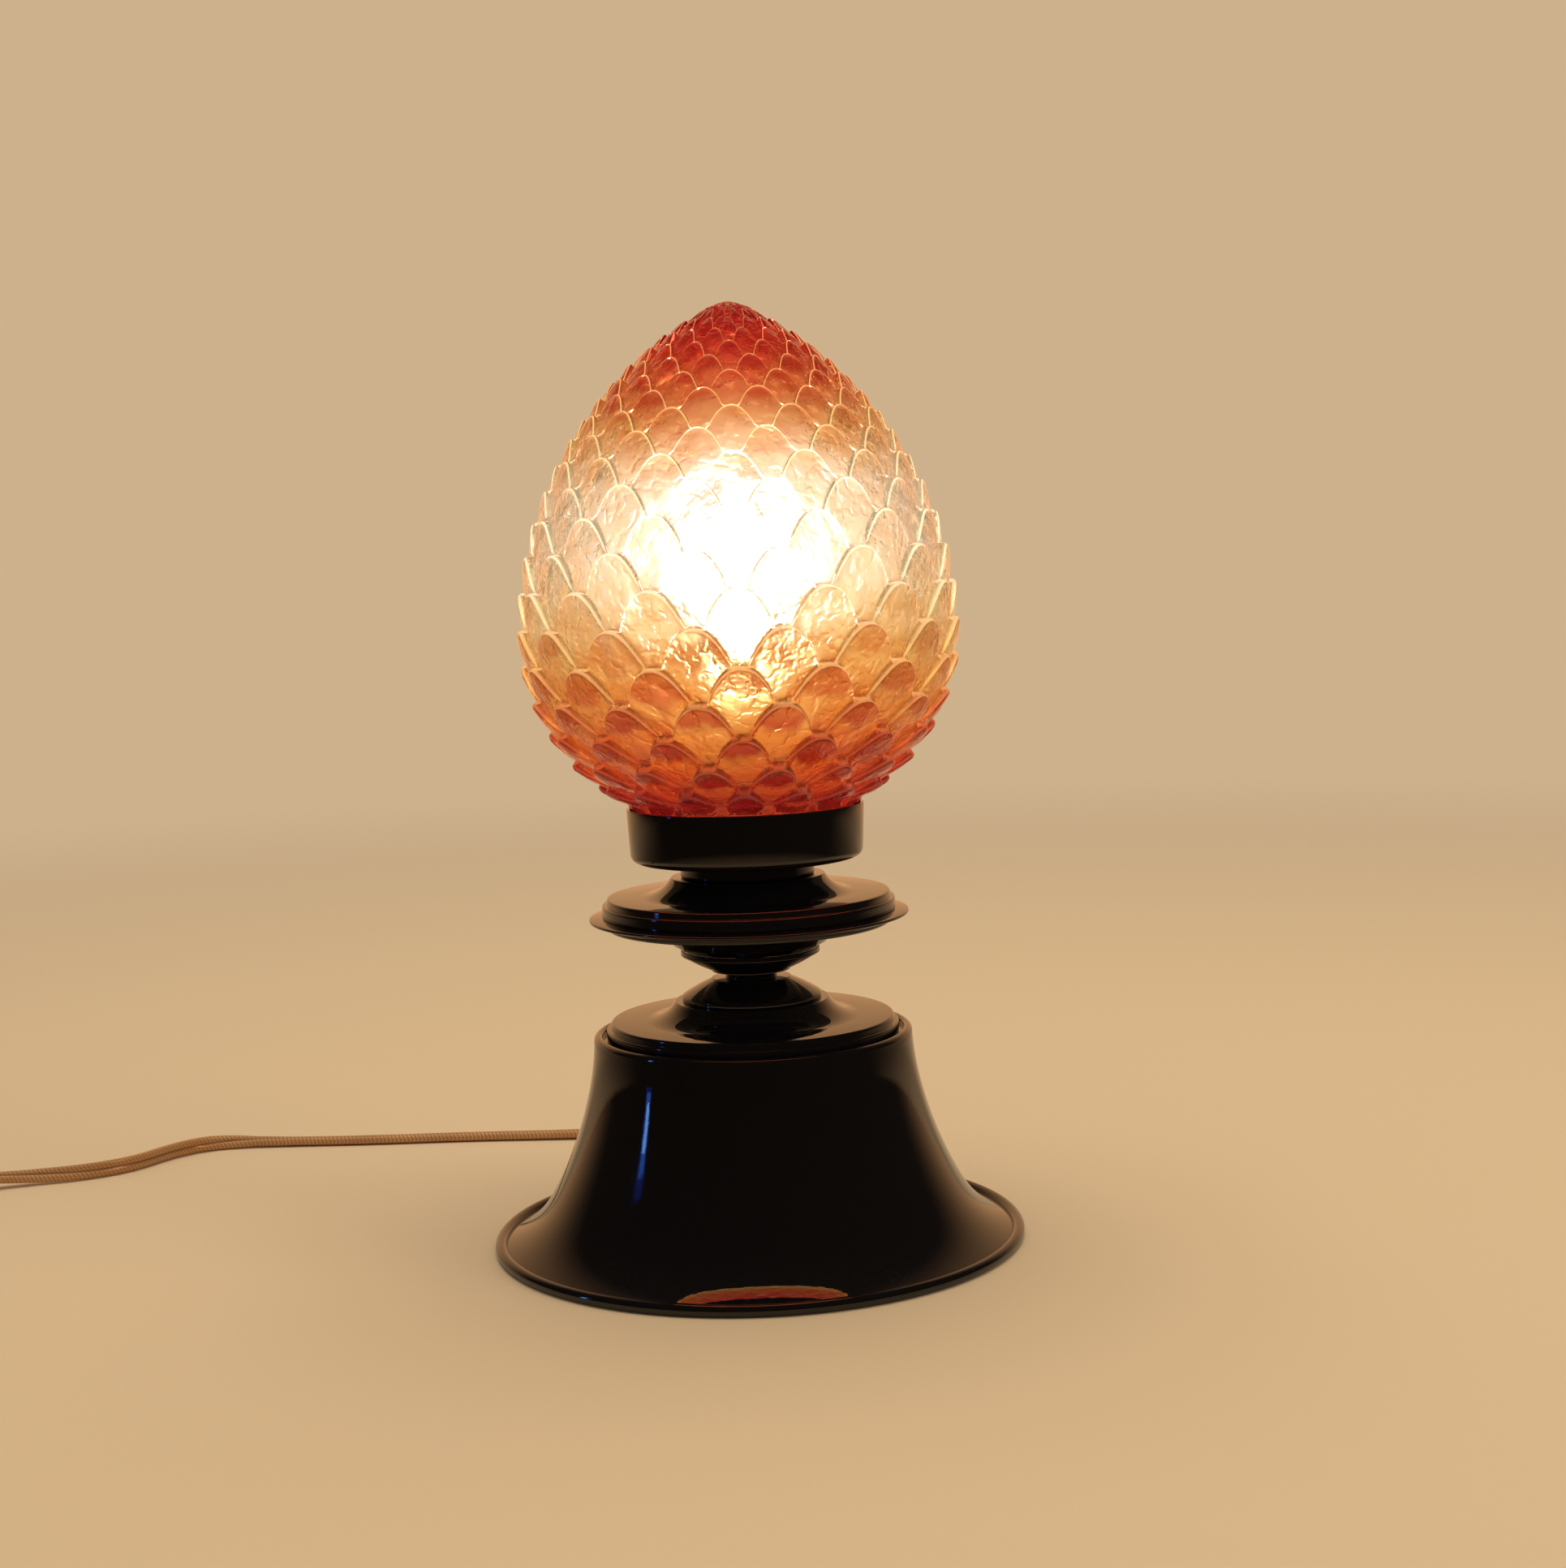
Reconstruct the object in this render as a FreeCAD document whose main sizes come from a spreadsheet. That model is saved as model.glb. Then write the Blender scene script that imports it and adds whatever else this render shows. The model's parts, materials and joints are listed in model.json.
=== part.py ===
import FreeCAD, Part
import math
import os
from types import SimpleNamespace

import Sketcher
from FreeCAD import Placement, Rotation, Vector

# Table lamp: a scaled glass egg on a stack of black spun-metal covers, in millimetres.
# The lamp's axis is +Z, the table is the plane z = 0 and the side that faces the room is -Y.

doc = FreeCAD.newDocument("glass_lamp")
sheet = doc.addObject("Spreadsheet::Sheet", "dims")

SIZES = {
    # Base bell: spun sheet whose foot ends in a rolled bead
    "plate_level": 70.7,
    "bell_wall": 1.2,
    "bell_recess_radius": 51.5,
    "bell_rim_rise": 2.1,
    "bell_rim_round": 1.2,
    "bell_shoulder_round": 1.8,
    "bell_top_slope": 0.04,
    "bell_waist_spread": 0.0795,
    "bell_waist_drop": 19.2,
    "bell_hip_spread": 0.2055,
    "bell_hip_drop": 34.2,
    "bell_skirt_spread": 0.3918,
    "bell_skirt_drop": 49.5,
    "bell_flare_spread": 0.6055,
    "bell_flare_drop": 61.0,
    "bell_foot_rise": 2.73,
    "bell_foot_slope": 0.45,
    "bead_round": 2.1,
    "bead_flat": 0.15,
    "bead_bite": 1.6,
    "base_radius": 91.0,
    # Closing board and felt under the bell
    "felt_thick": 1.5,
    "felt_inset": 1.2,
    "board_thick": 2.4,
    "board_gap": 0.2,
    # Hollow threaded tube that clamps the stack, and its hardware
    "rod_radius": 5.0,
    "rod_bore_radius": 3.4,
    "rod_gap": 0.15,
    "rod_below_plate": 15.7,
    "nut_corner_radius": 9.8,
    "low_nut_thick": 6.0,
    "top_nut_thick": 3.0,
    "washer_radius": 15.0,
    "washer_thick": 1.6,
    "bushing_wall": 1.3,
    "bushing_length": 6.0,
    "bushing_lip": 1.5,
    # Stepped cover, used on the base and on both sides of the saucer
    "sheet_thick": 1.0,
    "cover_gap": 1.5,
    "cover_wall_rise": 4.0,
    "cover_edge_round": 0.6,
    "cover_step_width": 1.6,
    "cover_step_rise": 2.25,
    "cover_disc_round": 0.8,
    "cover_flat_radius": 37.0,
    "cover_cone_radius": 26.8,
    "cover_cone_rise": 5.5,
    "cover_cone_round": 12.5,
    "cover_land_radius": 26.2,
    "cover_land_rise": 6.25,
    "under_step_rise": 3.4,
    "under_wall_rise": 1.9,
    # Domed cup, one mouth down and one mouth up
    "cup_radius": 23.8,
    "cup_rim_rise": 1.7,
    "cup_rim_round": 0.5,
    "cup_dome_radius": 13.6,
    "cup_dome_rise": 7.1,
    "cup_dome_round": 60.0,
    "cup_ring_rise": 0.4,
    "cup_boss_radius": 8.9,
    "cup_rise": 8.3,
    # Small pieces of the stack
    "neck_radius": 8.2,
    "neck_rise": 0.9,
    "brim_margin": 0.8,
    "brim_lip_width": 3.7,
    "brim_thick": 1.0,
    "brim_drop": 0.55,
    "brim_edge_round": 0.4,
    "spacer_radius": 22.9,
    "spacer_rise": 5.7,
    "spacer_round": 0.8,
    # Glass holder: a cup open at the top, with what keeps the glass in it
    "holder_wall": 1.2,
    "holder_foot_radius": 39.6,
    "holder_top_radius": 40.5,
    "holder_rise": 18.4,
    "holder_corner_round": 3.0,
    "gasket_thick": 2.2,
    "gasket_width": 5.2,
    "gasket_gap": 0.25,
    "spring_count": 3,
    "spring_width": 10.0,
    "spring_thick": 0.4,
    "spring_low": 4.4,
    "spring_high": 15.2,
    "spring_wall_gap": 0.1,
    "spring_glass_gap": 0.3,
    # Glass shade: an egg with rows of overlapping scales
    "glass_neck_gap": 2.0,
    "glass_neck_wall": 4.2,
    "glass_wall": 5.4,
    "glass_seat_gap": 0.3,
    "egg_radius": 75.2,
    "egg_waist_rise": 72.9,
    "egg_upper_rise": 110.5,
    "egg_lower_drop": 69.0,
    "egg_point": 0.75,
    "scale_depth": 2.2,
    "scale_first": 11.3,
    "scale_pitch": 12.5,
    "scale_pitch_top": 7.7,
    "scale_steady": 92.0,
    "scale_settled": 152.0,
    "scale_nose": 1.1,
    "tip_knob_radius": 3.8,
    # Lampholder
    "cap_entry_radius": 8.6,
    "cap_entry_rise": 3.0,
    "cap_radius": 19.6,
    "cap_shoulder_rise": 12.5,
    "cap_rise": 18.4,
    "cap_wall": 2.2,
    "cap_floor": 6.0,
    "core_low": 14.4,
    "core_rise": 8.5,
    "core_gap": 0.15,
    "contact_radius": 5.0,
    "contact_thick": 1.0,
    "shell_gap": 0.3,
    "shell_thick": 0.4,
    "shell_top": 48.5,
    "sleeve_radius": 20.0,
    "sleeve_wall": 2.2,
    "sleeve_rise": 34.0,
    "sleeve_lip_gap": 0.4,
    "sleeve_lip_thick": 1.8,
    "terminal_radius": 2.4,
    "terminal_rise": 3.0,
    "terminal_spread": 10.0,
    # Bulb
    "bulb_gap": 0.1,
    "bulb_radius": 30.0,
    "bulb_centre_rise": 76.0,
    "bulb_neck_rise": 34.0,
    "bulb_neck_round": 60.0,
    "bulb_tangent_drop": 18.8,
    "bulb_wall": 1.0,
    "bulb_cap_radius": 13.2,
    "bulb_cap_wall": 0.35,
    "bulb_cap_low": 4.0,
    "bulb_cap_rise": 28.0,
    "bulb_foot_radius": 10.6,
    "bulb_neck_gap": 0.1,
    "thread_pitch": 3.63,
    "thread_depth": 0.65,
    "thread_low": 8.0,
    "thread_crest": 2.2,
    "thread_turns": 4,
    "insulator_low": 1.2,
    "tip_radius": 4.7,
    "stem_radius": 2.4,
    "stem_flare": 5.0,
    "stem_rise": 62.0,
    "wire_radius": 0.3,
    "wire_spread": 12.0,
    "wire_rise": 12.0,
    "wire_knee": 3.0,
    "wire_shoulder": 2.4,
    # Flex, round and as wide as the flat twin flex that it stands for
    "cord_radius": 3.0,
    "cord_gap": 0.1,
    "lead_bend": 25.0,
    "grommet_radius": 7.0,
    "grommet_nose_radius": 4.3,
    "grommet_reach": 6.0,
    "grommet_barrel_radius": 4.7,
    "grommet_collar_radius": 5.6,
    "grommet_collar_length": 8.0,
    "grommet_gap": 0.05,
    # Hand switch on the flex
    "switch_length": 62.0,
    "switch_width": 24.0,
    "switch_corner": 9.0,
    "switch_split": 7.5,
    "switch_rise": 16.0,
    "switch_wall": 1.8,
    "switch_edge_round": 2.0,
    "rocker_length": 18.0,
    "rocker_width": 9.4,
    "rocker_gap": 0.5,
    "rocker_rise": 2.6,
    "rocker_depth": 4.6,
    "rocker_dish_round": 26.0,
    "rocker_axis_drop": 2.6,
    "rib_wall": 2.2,
    "rib_depth": 5.6,
    "rib_length": 8.0,
    "pin_radius": 1.0,
    "pin_gap": 0.05,
    "strip_length": 14.0,
    "strip_width": 4.0,
    "strip_thick": 1.2,
    "strip_spread": 13.0,
    # Coil of the put-away length
    "coil_outer_radius": 42.75,
    "coil_pitch": 6.5,
    # Flat plug with two round pins
    "plug_thick": 13.7,
    "plug_width": 35.3,
    "plug_rear_width": 15.0,
    "plug_length": 34.0,
    "plug_taper_length": 22.0,
    "plug_edge_round": 2.4,
    "relief_length": 24.0,
    "relief_radius": 5.4,
    "relief_nose_radius": 3.8,
    "relief_slot": 1.6,
    "relief_slot_depth": 0.8,
    "relief_slot_first": 5.0,
    "relief_slot_pitch": 3.6,
    "relief_slots": 5,
    "blade_radius": 2.0,
    "blade_core_radius": 1.5,
    "blade_length": 19.0,
    "blade_spread": 18.6,
    "collar_length": 10.0,
    "collar_gap": 0.03,
}

# Routes of the flex on the table, from the grommet's nose to the plug
RUN_ROUTE = [
    (0.0, 91.0, 12.0),
    (0.0, 106.5, 12.0),
    (-5.6, 121.6, 11.0),
    (-16.5, 134.2, 8.8),
    (-31.8, 143.0, 6.2),
    (-50.0, 147.6, 4.2),
    (-80.0, 150.3, 3.0),
    (-122.0, 151.9, 3.0),
    (-160.0, 152.4, 3.0),
    (-190.0, 155.2, 3.0),
    (-213.0, 155.6, 3.0),
    (-227.1, 150.4, 3.0),
    (-238.2, 140.3, 3.0),
    (-248.0, 120.6, 3.0),
    (-266.5, 109.5, 3.0),
    (-286.0, 106.0, 3.4),
    (-302.0, 100.5, 5.0),
    (-316.0, 97.5, 5.0),
]
LINK_ROUTE = [
    (-376.624, 84.509, 5.0),
    (-388.749, 81.911, 5.0),
    (-399.8, 75.1, 4.4),
    (-409.2, 63.4, 3.5),
    (-415.5, 45.5, 3.0),
    (-415.5, 28.5, 3.0),
]
COIL_CENTRE = (-372.75, 22.5, 3.0)
COIL_TURNS = 6
COIL_CLIMB_TURNS = 0.5
TAIL_ROUTE = [
    (-415.5, 16.5, 9.5),
    (-415.5, 4.5, 9.5),
    (-411.88, -9.02, 8.2),
    (-404.88, -21.15, 6.9),
    (-396.39, -29.64, 6.9),
]
ARC_SHARE = 0.45
# How finely curves are walked, offset and measured
OFFSET_STEPS = 14
WALK_STEPS = 1200
CAVITY_STEPS = 18
TURN_GLANCE = 1 / 32
GAP_SPACING = 2.0
GAP_DIAMETERS = 8
SAME_PLACE = 1e-4

for row, (alias, number) in enumerate(SIZES.items(), start=1):
    sheet.set(f"A{row}", alias)
    sheet.set(f"B{row}", str(number))
    sheet.setAlias(f"B{row}", alias)
doc.recompute()


class Size(float):
    """A number that also carries the sheet expression that it comes from."""

    def __new__(cls, number, text):
        made = super().__new__(cls, number)
        made.text = text
        return made

    def __add__(self, other):
        return Size(float(self) + float(other), f"({self.text} + {text_of(other)})")

    def __radd__(self, other):
        return Size(float(other) + float(self), f"({text_of(other)} + {self.text})")

    def __sub__(self, other):
        return Size(float(self) - float(other), f"({self.text} - {text_of(other)})")

    def __mul__(self, other):
        return Size(float(self) * float(other), f"({self.text} * {text_of(other)})")

    __rmul__ = __mul__

    def __truediv__(self, other):
        return Size(float(self) / float(other), f"({self.text} / {text_of(other)})")

    def __neg__(self):
        return Size(-float(self), f"(-1 * {self.text})")


def text_of(value):
    return value.text if isinstance(value, Size) else repr(float(value))


def root(value):
    return Size(math.sqrt(value), f"sqrt({value.text})")


dims = SimpleNamespace(**{alias: Size(sheet.get(alias), f"dims.{alias}") for alias in SIZES})

# Radii that follow the piece each one fits
bell_top_radius = dims.bell_recess_radius + dims.bell_rim_round + dims.bell_shoulder_round
cover_radius = dims.bell_recess_radius - dims.cover_gap
brim_flat_radius = cover_radius + dims.brim_margin
brim_radius = brim_flat_radius + dims.brim_lip_width
holder_mouth = min(dims.holder_foot_radius, dims.holder_top_radius) - dims.holder_wall
glass_neck_radius = holder_mouth - dims.glass_neck_gap
rod_hole_radius = dims.rod_radius + dims.rod_gap
cord_hole_radius = dims.cord_radius + dims.cord_gap

# Levels of the stack, each piece seated on the one below
cover_disc_rise = dims.cover_wall_rise + dims.cover_step_rise
cover_rise = cover_disc_rise + dims.cover_land_rise
under_disc_rise = dims.under_wall_rise + dims.under_step_rise
lower_cup_level = dims.plate_level + cover_rise
neck_level = lower_cup_level + dims.cup_rise
upper_cup_level = neck_level + dims.neck_rise
saucer_level = upper_cup_level + dims.cup_rise
brim_level = saucer_level + dims.cover_land_rise + under_disc_rise
saucer_cover_level = brim_level + dims.brim_thick
spacer_level = saucer_cover_level + cover_rise
holder_level = spacer_level + dims.spacer_rise
holder_floor = holder_level + dims.holder_wall
glass_level = holder_floor + dims.gasket_thick + dims.gasket_gap
cap_level = holder_floor + dims.top_nut_thick
contact_level = cap_level + dims.core_low + dims.core_rise
bulb_level = contact_level + dims.contact_thick + dims.bulb_gap

nodes = []


def keep(piece, label):
    """Name a finished piece and list it for export."""
    piece.Label = label
    nodes.append(piece)
    return piece


def place(piece, level):
    """Put a piece on the lamp's axis at a level that follows the sheet."""
    piece.setExpression("Placement.Base.z", level.text)


def new_body(label, level=None):
    body = doc.addObject("PartDesign::Body", label)
    if level is not None:
        place(body, level)
    return keep(body, label)


def new_sketch(body, role, offset=None):
    sketch = body.newObject("Sketcher::SketchObject", f"{body.Label}_sketch")
    plane = next(item for item in body.Origin.OriginFeatures if item.Role == role)
    sketch.AttachmentSupport = [(plane, "")]
    sketch.MapMode = "FlatFace"
    if offset is not None:
        sketch.setExpression("AttachmentOffset.Base.z", offset.text)
    return sketch


def pin_point(sketch, kind, axis, geometry, point, value):
    """Hold one coordinate of a sketch point, on the axis where the value is zero."""
    if not isinstance(value, Size):
        sketch.addConstraint(Sketcher.Constraint("PointOnObject", geometry, point, axis))
        return
    index = sketch.addConstraint(Sketcher.Constraint(kind, -1, 1, geometry, point, float(value)))
    sketch.setExpression(f"Constraints[{index}]", value.text)


def draw(sketch, corners):
    """Draw a closed outline of corners (x, y) or (x, y, bend).

    A corner with a bend leaves on an arc of that radius, whose centre lies to the left
    of the way round where the bend is positive and to the right where it is negative.
    """
    starts = []
    ends = []
    for corner, following in zip(corners, corners[1:] + corners[:1]):
        start = Vector(corner[0], corner[1], 0)
        end = Vector(following[0], following[1], 0)
        if len(corner) == 2:
            geometry = sketch.addGeometry(Part.LineSegment(start, end))
            starts.append((geometry, 1))
            ends.append((geometry, 2))
            continue
        bend = corner[2]
        leftward = bend > 0
        radius = bend if leftward else -bend
        chord = end - start
        rise = math.sqrt(max(0.0, float(radius) ** 2 - chord.Length ** 2 / 4))
        normal = Vector(-chord.y, chord.x, 0).normalize()
        centre = (start + end) * 0.5 + normal * (rise if leftward else -rise)
        first, last = (start, end) if leftward else (end, start)
        circle = Part.Circle(centre, Vector(0, 0, 1), float(radius))
        first_angle = math.atan2(first.y - centre.y, first.x - centre.x)
        last_angle = math.atan2(last.y - centre.y, last.x - centre.x)
        geometry = sketch.addGeometry(Part.ArcOfCircle(circle, first_angle, last_angle))
        starts.append((geometry, 1 if leftward else 2))
        ends.append((geometry, 2 if leftward else 1))
        index = sketch.addConstraint(Sketcher.Constraint("Radius", geometry, float(radius)))
        sketch.setExpression(f"Constraints[{index}]", radius.text)
    for position, corner in enumerate(corners):
        sketch.addConstraint(Sketcher.Constraint("Coincident", *ends[position - 1], *starts[position]))
        pin_point(sketch, "DistanceX", -2, *starts[position], corner[0])
        pin_point(sketch, "DistanceY", -1, *starts[position], corner[1])


def draw_circle(sketch, x, y, radius):
    circle = Part.Circle(Vector(x, y, 0), Vector(0, 0, 1), float(radius))
    geometry = sketch.addGeometry(circle)
    index = sketch.addConstraint(Sketcher.Constraint("Radius", geometry, float(radius)))
    sketch.setExpression(f"Constraints[{index}]", radius.text)
    pin_point(sketch, "DistanceX", -2, geometry, 3, x)
    pin_point(sketch, "DistanceY", -1, geometry, 3, y)


def turn(body, corners):
    """Revolve an outline of (radius, level) corners about the body's Z axis."""
    sketch = new_sketch(body, "XZ_Plane")
    draw(sketch, corners)
    turned = body.newObject("PartDesign::Revolution", f"{body.Label}_turn")
    turned.Profile = sketch
    turned.ReferenceAxis = (sketch, ["V_Axis"])
    turned.Angle = 360
    doc.recompute()


def hollow(body, wall, level):
    """Open the body at its flat face at a level and leave a wall of even thickness."""
    base = body.Tip
    names = [
        f"Face{index}"
        for index, face in enumerate(base.Shape.Faces, start=1)
        if isinstance(face.Surface, Part.Plane) and abs(face.CenterOfMass.z - level) < SAME_PLACE
    ]
    shell = body.newObject("PartDesign::Thickness", f"{body.Label}_wall")
    shell.Base = (base, names)
    shell.Join = "Intersection"
    shell.Reversed = True
    shell.setExpression("Value", wall.text)
    doc.recompute()


def round_rings(body, size, rings):
    """Round the ring edges at the given (radius, level) places."""
    base = body.Tip
    names = [
        f"Edge{index}"
        for index, edge in enumerate(base.Shape.Edges, start=1)
        for radius, level in rings
        if isinstance(edge.Curve, Part.Circle)
        and abs(edge.Curve.Radius - radius) < SAME_PLACE
        and abs(edge.Curve.Center.z - level) < SAME_PLACE
    ]
    fillet = body.newObject("PartDesign::Fillet", f"{body.Label}_round")
    fillet.Base = (base, names)
    fillet.setExpression("Radius", size.text)
    doc.recompute()


def pad(body, outline, rise, offset=None, role="XY_Plane", symmetric=False):
    sketch = new_sketch(body, role, offset)
    outline(sketch)
    block = body.newObject("PartDesign::Pad", f"{body.Label}_pad")
    block.Profile = sketch
    block.SideType = "Symmetric" if symmetric else "One side"
    block.setExpression("Length", rise.text)
    doc.recompute()
    return block


def pocket(body, outline, depth, offset=None, role="XY_Plane", upward=False, through=False):
    sketch = new_sketch(body, role, offset)
    outline(sketch)
    cut = body.newObject("PartDesign::Pocket", f"{body.Label}_pocket")
    cut.Profile = sketch
    cut.Reversed = upward
    if through:
        cut.Type = "ThroughAll"
        cut.SideType = "Symmetric"
    else:
        cut.setExpression("Length", depth.text)
    doc.recompute()
    return cut


def bore(body, radius):
    """Cut a hole through the body along its Z axis."""
    pocket(body, lambda sketch: draw_circle(sketch, 0, 0, radius), None, through=True)


def turned_piece(label, level, corners, hole=None):
    body = new_body(label, level)
    turn(body, corners)
    if hole is not None:
        bore(body, hole)
    return body


def cylinder(name, radius, height, level=None):
    item = doc.addObject("Part::Cylinder", name)
    item.setExpression("Radius", radius.text)
    item.setExpression("Height", height.text)
    if level is not None:
        place(item, level)
    return item


def cut_piece(label, base, tool):
    piece = doc.addObject("Part::Cut", label)
    piece.Base = base
    piece.Tool = tool
    return keep(piece, label)


def bell_outline(offset):
    """Side of the bell as a curve in the XZ plane, moved outwards by an offset."""
    top = dims.plate_level + dims.bell_rim_rise - dims.bell_shoulder_round
    bead_middle = dims.base_radius - dims.bead_round
    widening = dims.base_radius - bell_top_radius
    points = [Vector(bell_top_radius, 0, top)]
    for spread, drop in (
        (dims.bell_waist_spread, dims.bell_waist_drop),
        (dims.bell_hip_spread, dims.bell_hip_drop),
        (dims.bell_skirt_spread, dims.bell_skirt_drop),
        (dims.bell_flare_spread, dims.bell_flare_drop),
    ):
        points.append(Vector(bell_top_radius + widening * spread, 0, dims.plate_level - drop))
    points.append(Vector(bead_middle - dims.bead_bite, 0, dims.bell_foot_rise))
    side = Part.BSplineCurve()
    side.interpolate(Points=points, InitialTangent=Vector(dims.bell_top_slope, 0, -1),
                     FinalTangent=Vector(1, 0, -dims.bell_foot_slope))
    if offset == 0:
        return side
    moved = []
    for step in range(OFFSET_STEPS + 1):
        at = side.FirstParameter + (side.LastParameter - side.FirstParameter) * step / OFFSET_STEPS
        along = side.tangent(at)[0]
        outward = Vector(-along.z, 0, along.x)
        moved.append(side.value(at) + outward * offset)
    curve = Part.BSplineCurve()
    curve.interpolate(moved)
    return curve


def turn_wire(edges):
    """Revolve a closed wire of edges in the XZ plane about the Z axis."""
    return Part.Face(Part.Wire(edges)).revolve(Vector(0, 0, 0), Vector(0, 0, 1), 360)


def bell_core(offset):
    """The space inside the bell's side, moved outwards by an offset."""
    side = bell_outline(offset)
    top = side.StartPoint
    foot = side.EndPoint
    return turn_wire([
        side.toShape(),
        Part.makeLine(foot, Vector(0, 0, foot.z)),
        Part.makeLine(Vector(0, 0, foot.z), Vector(0, 0, top.z)),
        Part.makeLine(Vector(0, 0, top.z), top),
    ])


def bell_inner_radius(level):
    """Inner radius of the bell's side at a level."""
    side = bell_outline(-dims.bell_wall)
    line = Part.makeLine(Vector(0, 0, level), Vector(dims.base_radius, 0, level))
    return line.distToShape(side.toShape())[1][0][0].x


def cord_exit():
    """Where the flex leaves the bell: the first point of its route."""
    return Vector(*RUN_ROUTE[0])


def make_base_bell():
    outer = bell_outline(0)
    inner = bell_outline(-dims.bell_wall)
    shoulder = outer.StartPoint
    rim_top = dims.plate_level + dims.bell_rim_rise
    crest = Vector(dims.bell_recess_radius + dims.bell_rim_round, 0, rim_top)
    lip = Vector(dims.bell_recess_radius, 0, rim_top - dims.bell_rim_round)
    floor = Vector(dims.bell_recess_radius, 0, dims.plate_level)
    plate_top = Vector(rod_hole_radius, 0, dims.plate_level)
    plate_low = Vector(rod_hole_radius, 0, dims.plate_level - dims.bell_wall)
    inner_top = Vector(inner.StartPoint.x, 0, dims.plate_level - dims.bell_wall)
    half = math.sqrt(0.5)
    crest_bend = crest - Vector(dims.bell_rim_round * half, 0, dims.bell_rim_round * (1 - half))
    shoulder_round = shoulder.x - crest.x
    shoulder_bend = crest + Vector(shoulder_round * half, 0, (half - 1) * shoulder_round)
    shell = turn_wire([
        Part.makeLine(plate_low, plate_top),
        Part.makeLine(plate_top, floor),
        Part.makeLine(floor, lip),
        Part.Arc(lip, crest_bend, crest).toShape(),
        Part.Arc(crest, shoulder_bend, shoulder).toShape(),
        outer.toShape(),
        Part.makeLine(outer.EndPoint, inner.EndPoint),
        inner.toShape(),
        Part.makeLine(inner.StartPoint, inner_top),
        Part.makeLine(inner_top, plate_low),
    ])
    bead_middle = Vector(0, 0, dims.bead_round - dims.bead_flat)
    bead = Part.makeTorus(dims.base_radius - dims.bead_round, dims.bead_round, bead_middle, Vector(0, 0, 1))
    below = Part.makeCylinder(dims.base_radius * 2, dims.bead_round, Vector(0, 0, -dims.bead_round))
    hole = Part.makeCylinder(dims.grommet_barrel_radius + dims.grommet_gap, dims.base_radius,
                             Vector(0, dims.bell_recess_radius, cord_exit().z), Vector(0, 1, 0))
    bell = doc.addObject("Part::Feature", "base_bell")
    bell.Shape = shell.fuse(bead).cut(below).cut(hole)
    keep(bell, "base_bell")


def make_base_underside():
    board_top = dims.felt_thick + dims.board_thick
    board_radius = bell_inner_radius(board_top) - dims.board_gap
    felt = doc.addObject("Part::Feature", "base_felt")
    felt.Shape = Part.makeCylinder(board_radius - dims.felt_inset, dims.felt_thick)
    keep(felt, "base_felt")
    board = doc.addObject("Part::Feature", "base_board")
    board.Shape = Part.makeCylinder(board_radius, dims.board_thick)
    board.Placement = Placement(Vector(0, 0, dims.felt_thick), Rotation())
    keep(board, "base_board")


def make_nut(label, level, thick):
    prism = doc.addObject("Part::Prism", f"{label}_hexagon")
    prism.Polygon = 6
    prism.setExpression("Circumradius", dims.nut_corner_radius.text)
    prism.setExpression("Height", thick.text)
    hole = cylinder(f"{label}_thread", dims.rod_radius, thick)
    nut = cut_piece(label, prism, hole)
    place(nut, level)


def make_rod_and_hardware():
    rod_low = dims.plate_level - dims.rod_below_plate
    rod_length = cap_level + dims.cap_floor - rod_low
    solid = cylinder("rod_outside", dims.rod_radius, rod_length)
    bore_tool = cylinder("rod_inside", dims.rod_bore_radius, rod_length)
    rod = cut_piece("threaded_rod", solid, bore_tool)
    place(rod, rod_low)
    plate_low = dims.plate_level - dims.bell_wall
    washer_level = plate_low - dims.washer_thick
    washer = cut_piece("bottom_washer", cylinder("washer_disc", dims.washer_radius, dims.washer_thick),
                       cylinder("washer_hole", rod_hole_radius, dims.washer_thick))
    place(washer, washer_level)
    make_nut("bottom_nut", washer_level - dims.low_nut_thick, dims.low_nut_thick)
    make_nut("holder_nut", holder_floor, dims.top_nut_thick)
    outer = rod_hole_radius + dims.bushing_wall
    turned_piece("rod_bushing", rod_low - dims.bushing_lip, [
        (cord_hole_radius, 0),
        (outer, 0),
        (outer, dims.bushing_length),
        (rod_hole_radius, dims.bushing_length),
        (rod_hole_radius, dims.bushing_lip),
        (cord_hole_radius, dims.bushing_lip),
    ])


def make_cover(label, level, wall_rise, step_rise, upright):
    """Stepped spun cover: low wall, narrow step, flat disc, hollow cone and a flat land."""
    mark = 1 if upright else -1
    step_radius = cover_radius - dims.cover_step_width
    disc = (wall_rise + step_rise) * mark
    land = disc + dims.cover_land_rise * mark
    cone = disc + dims.cover_cone_rise * mark
    body = new_body(label, level)
    turn(body, [
        (0, 0),
        (cover_radius, 0),
        (cover_radius, wall_rise * mark),
        (step_radius, wall_rise * mark),
        (step_radius, disc),
        (dims.cover_flat_radius, disc, dims.cover_cone_round * -mark),
        (dims.cover_cone_radius, cone),
        (dims.cover_land_radius, land),
        (0, land),
    ])
    hollow(body, dims.sheet_thick, 0)
    bore(body, rod_hole_radius)
    round_rings(body, dims.cover_edge_round, [(cover_radius, wall_rise * mark)])
    round_rings(body, dims.cover_disc_round, [(step_radius, disc)])


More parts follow.
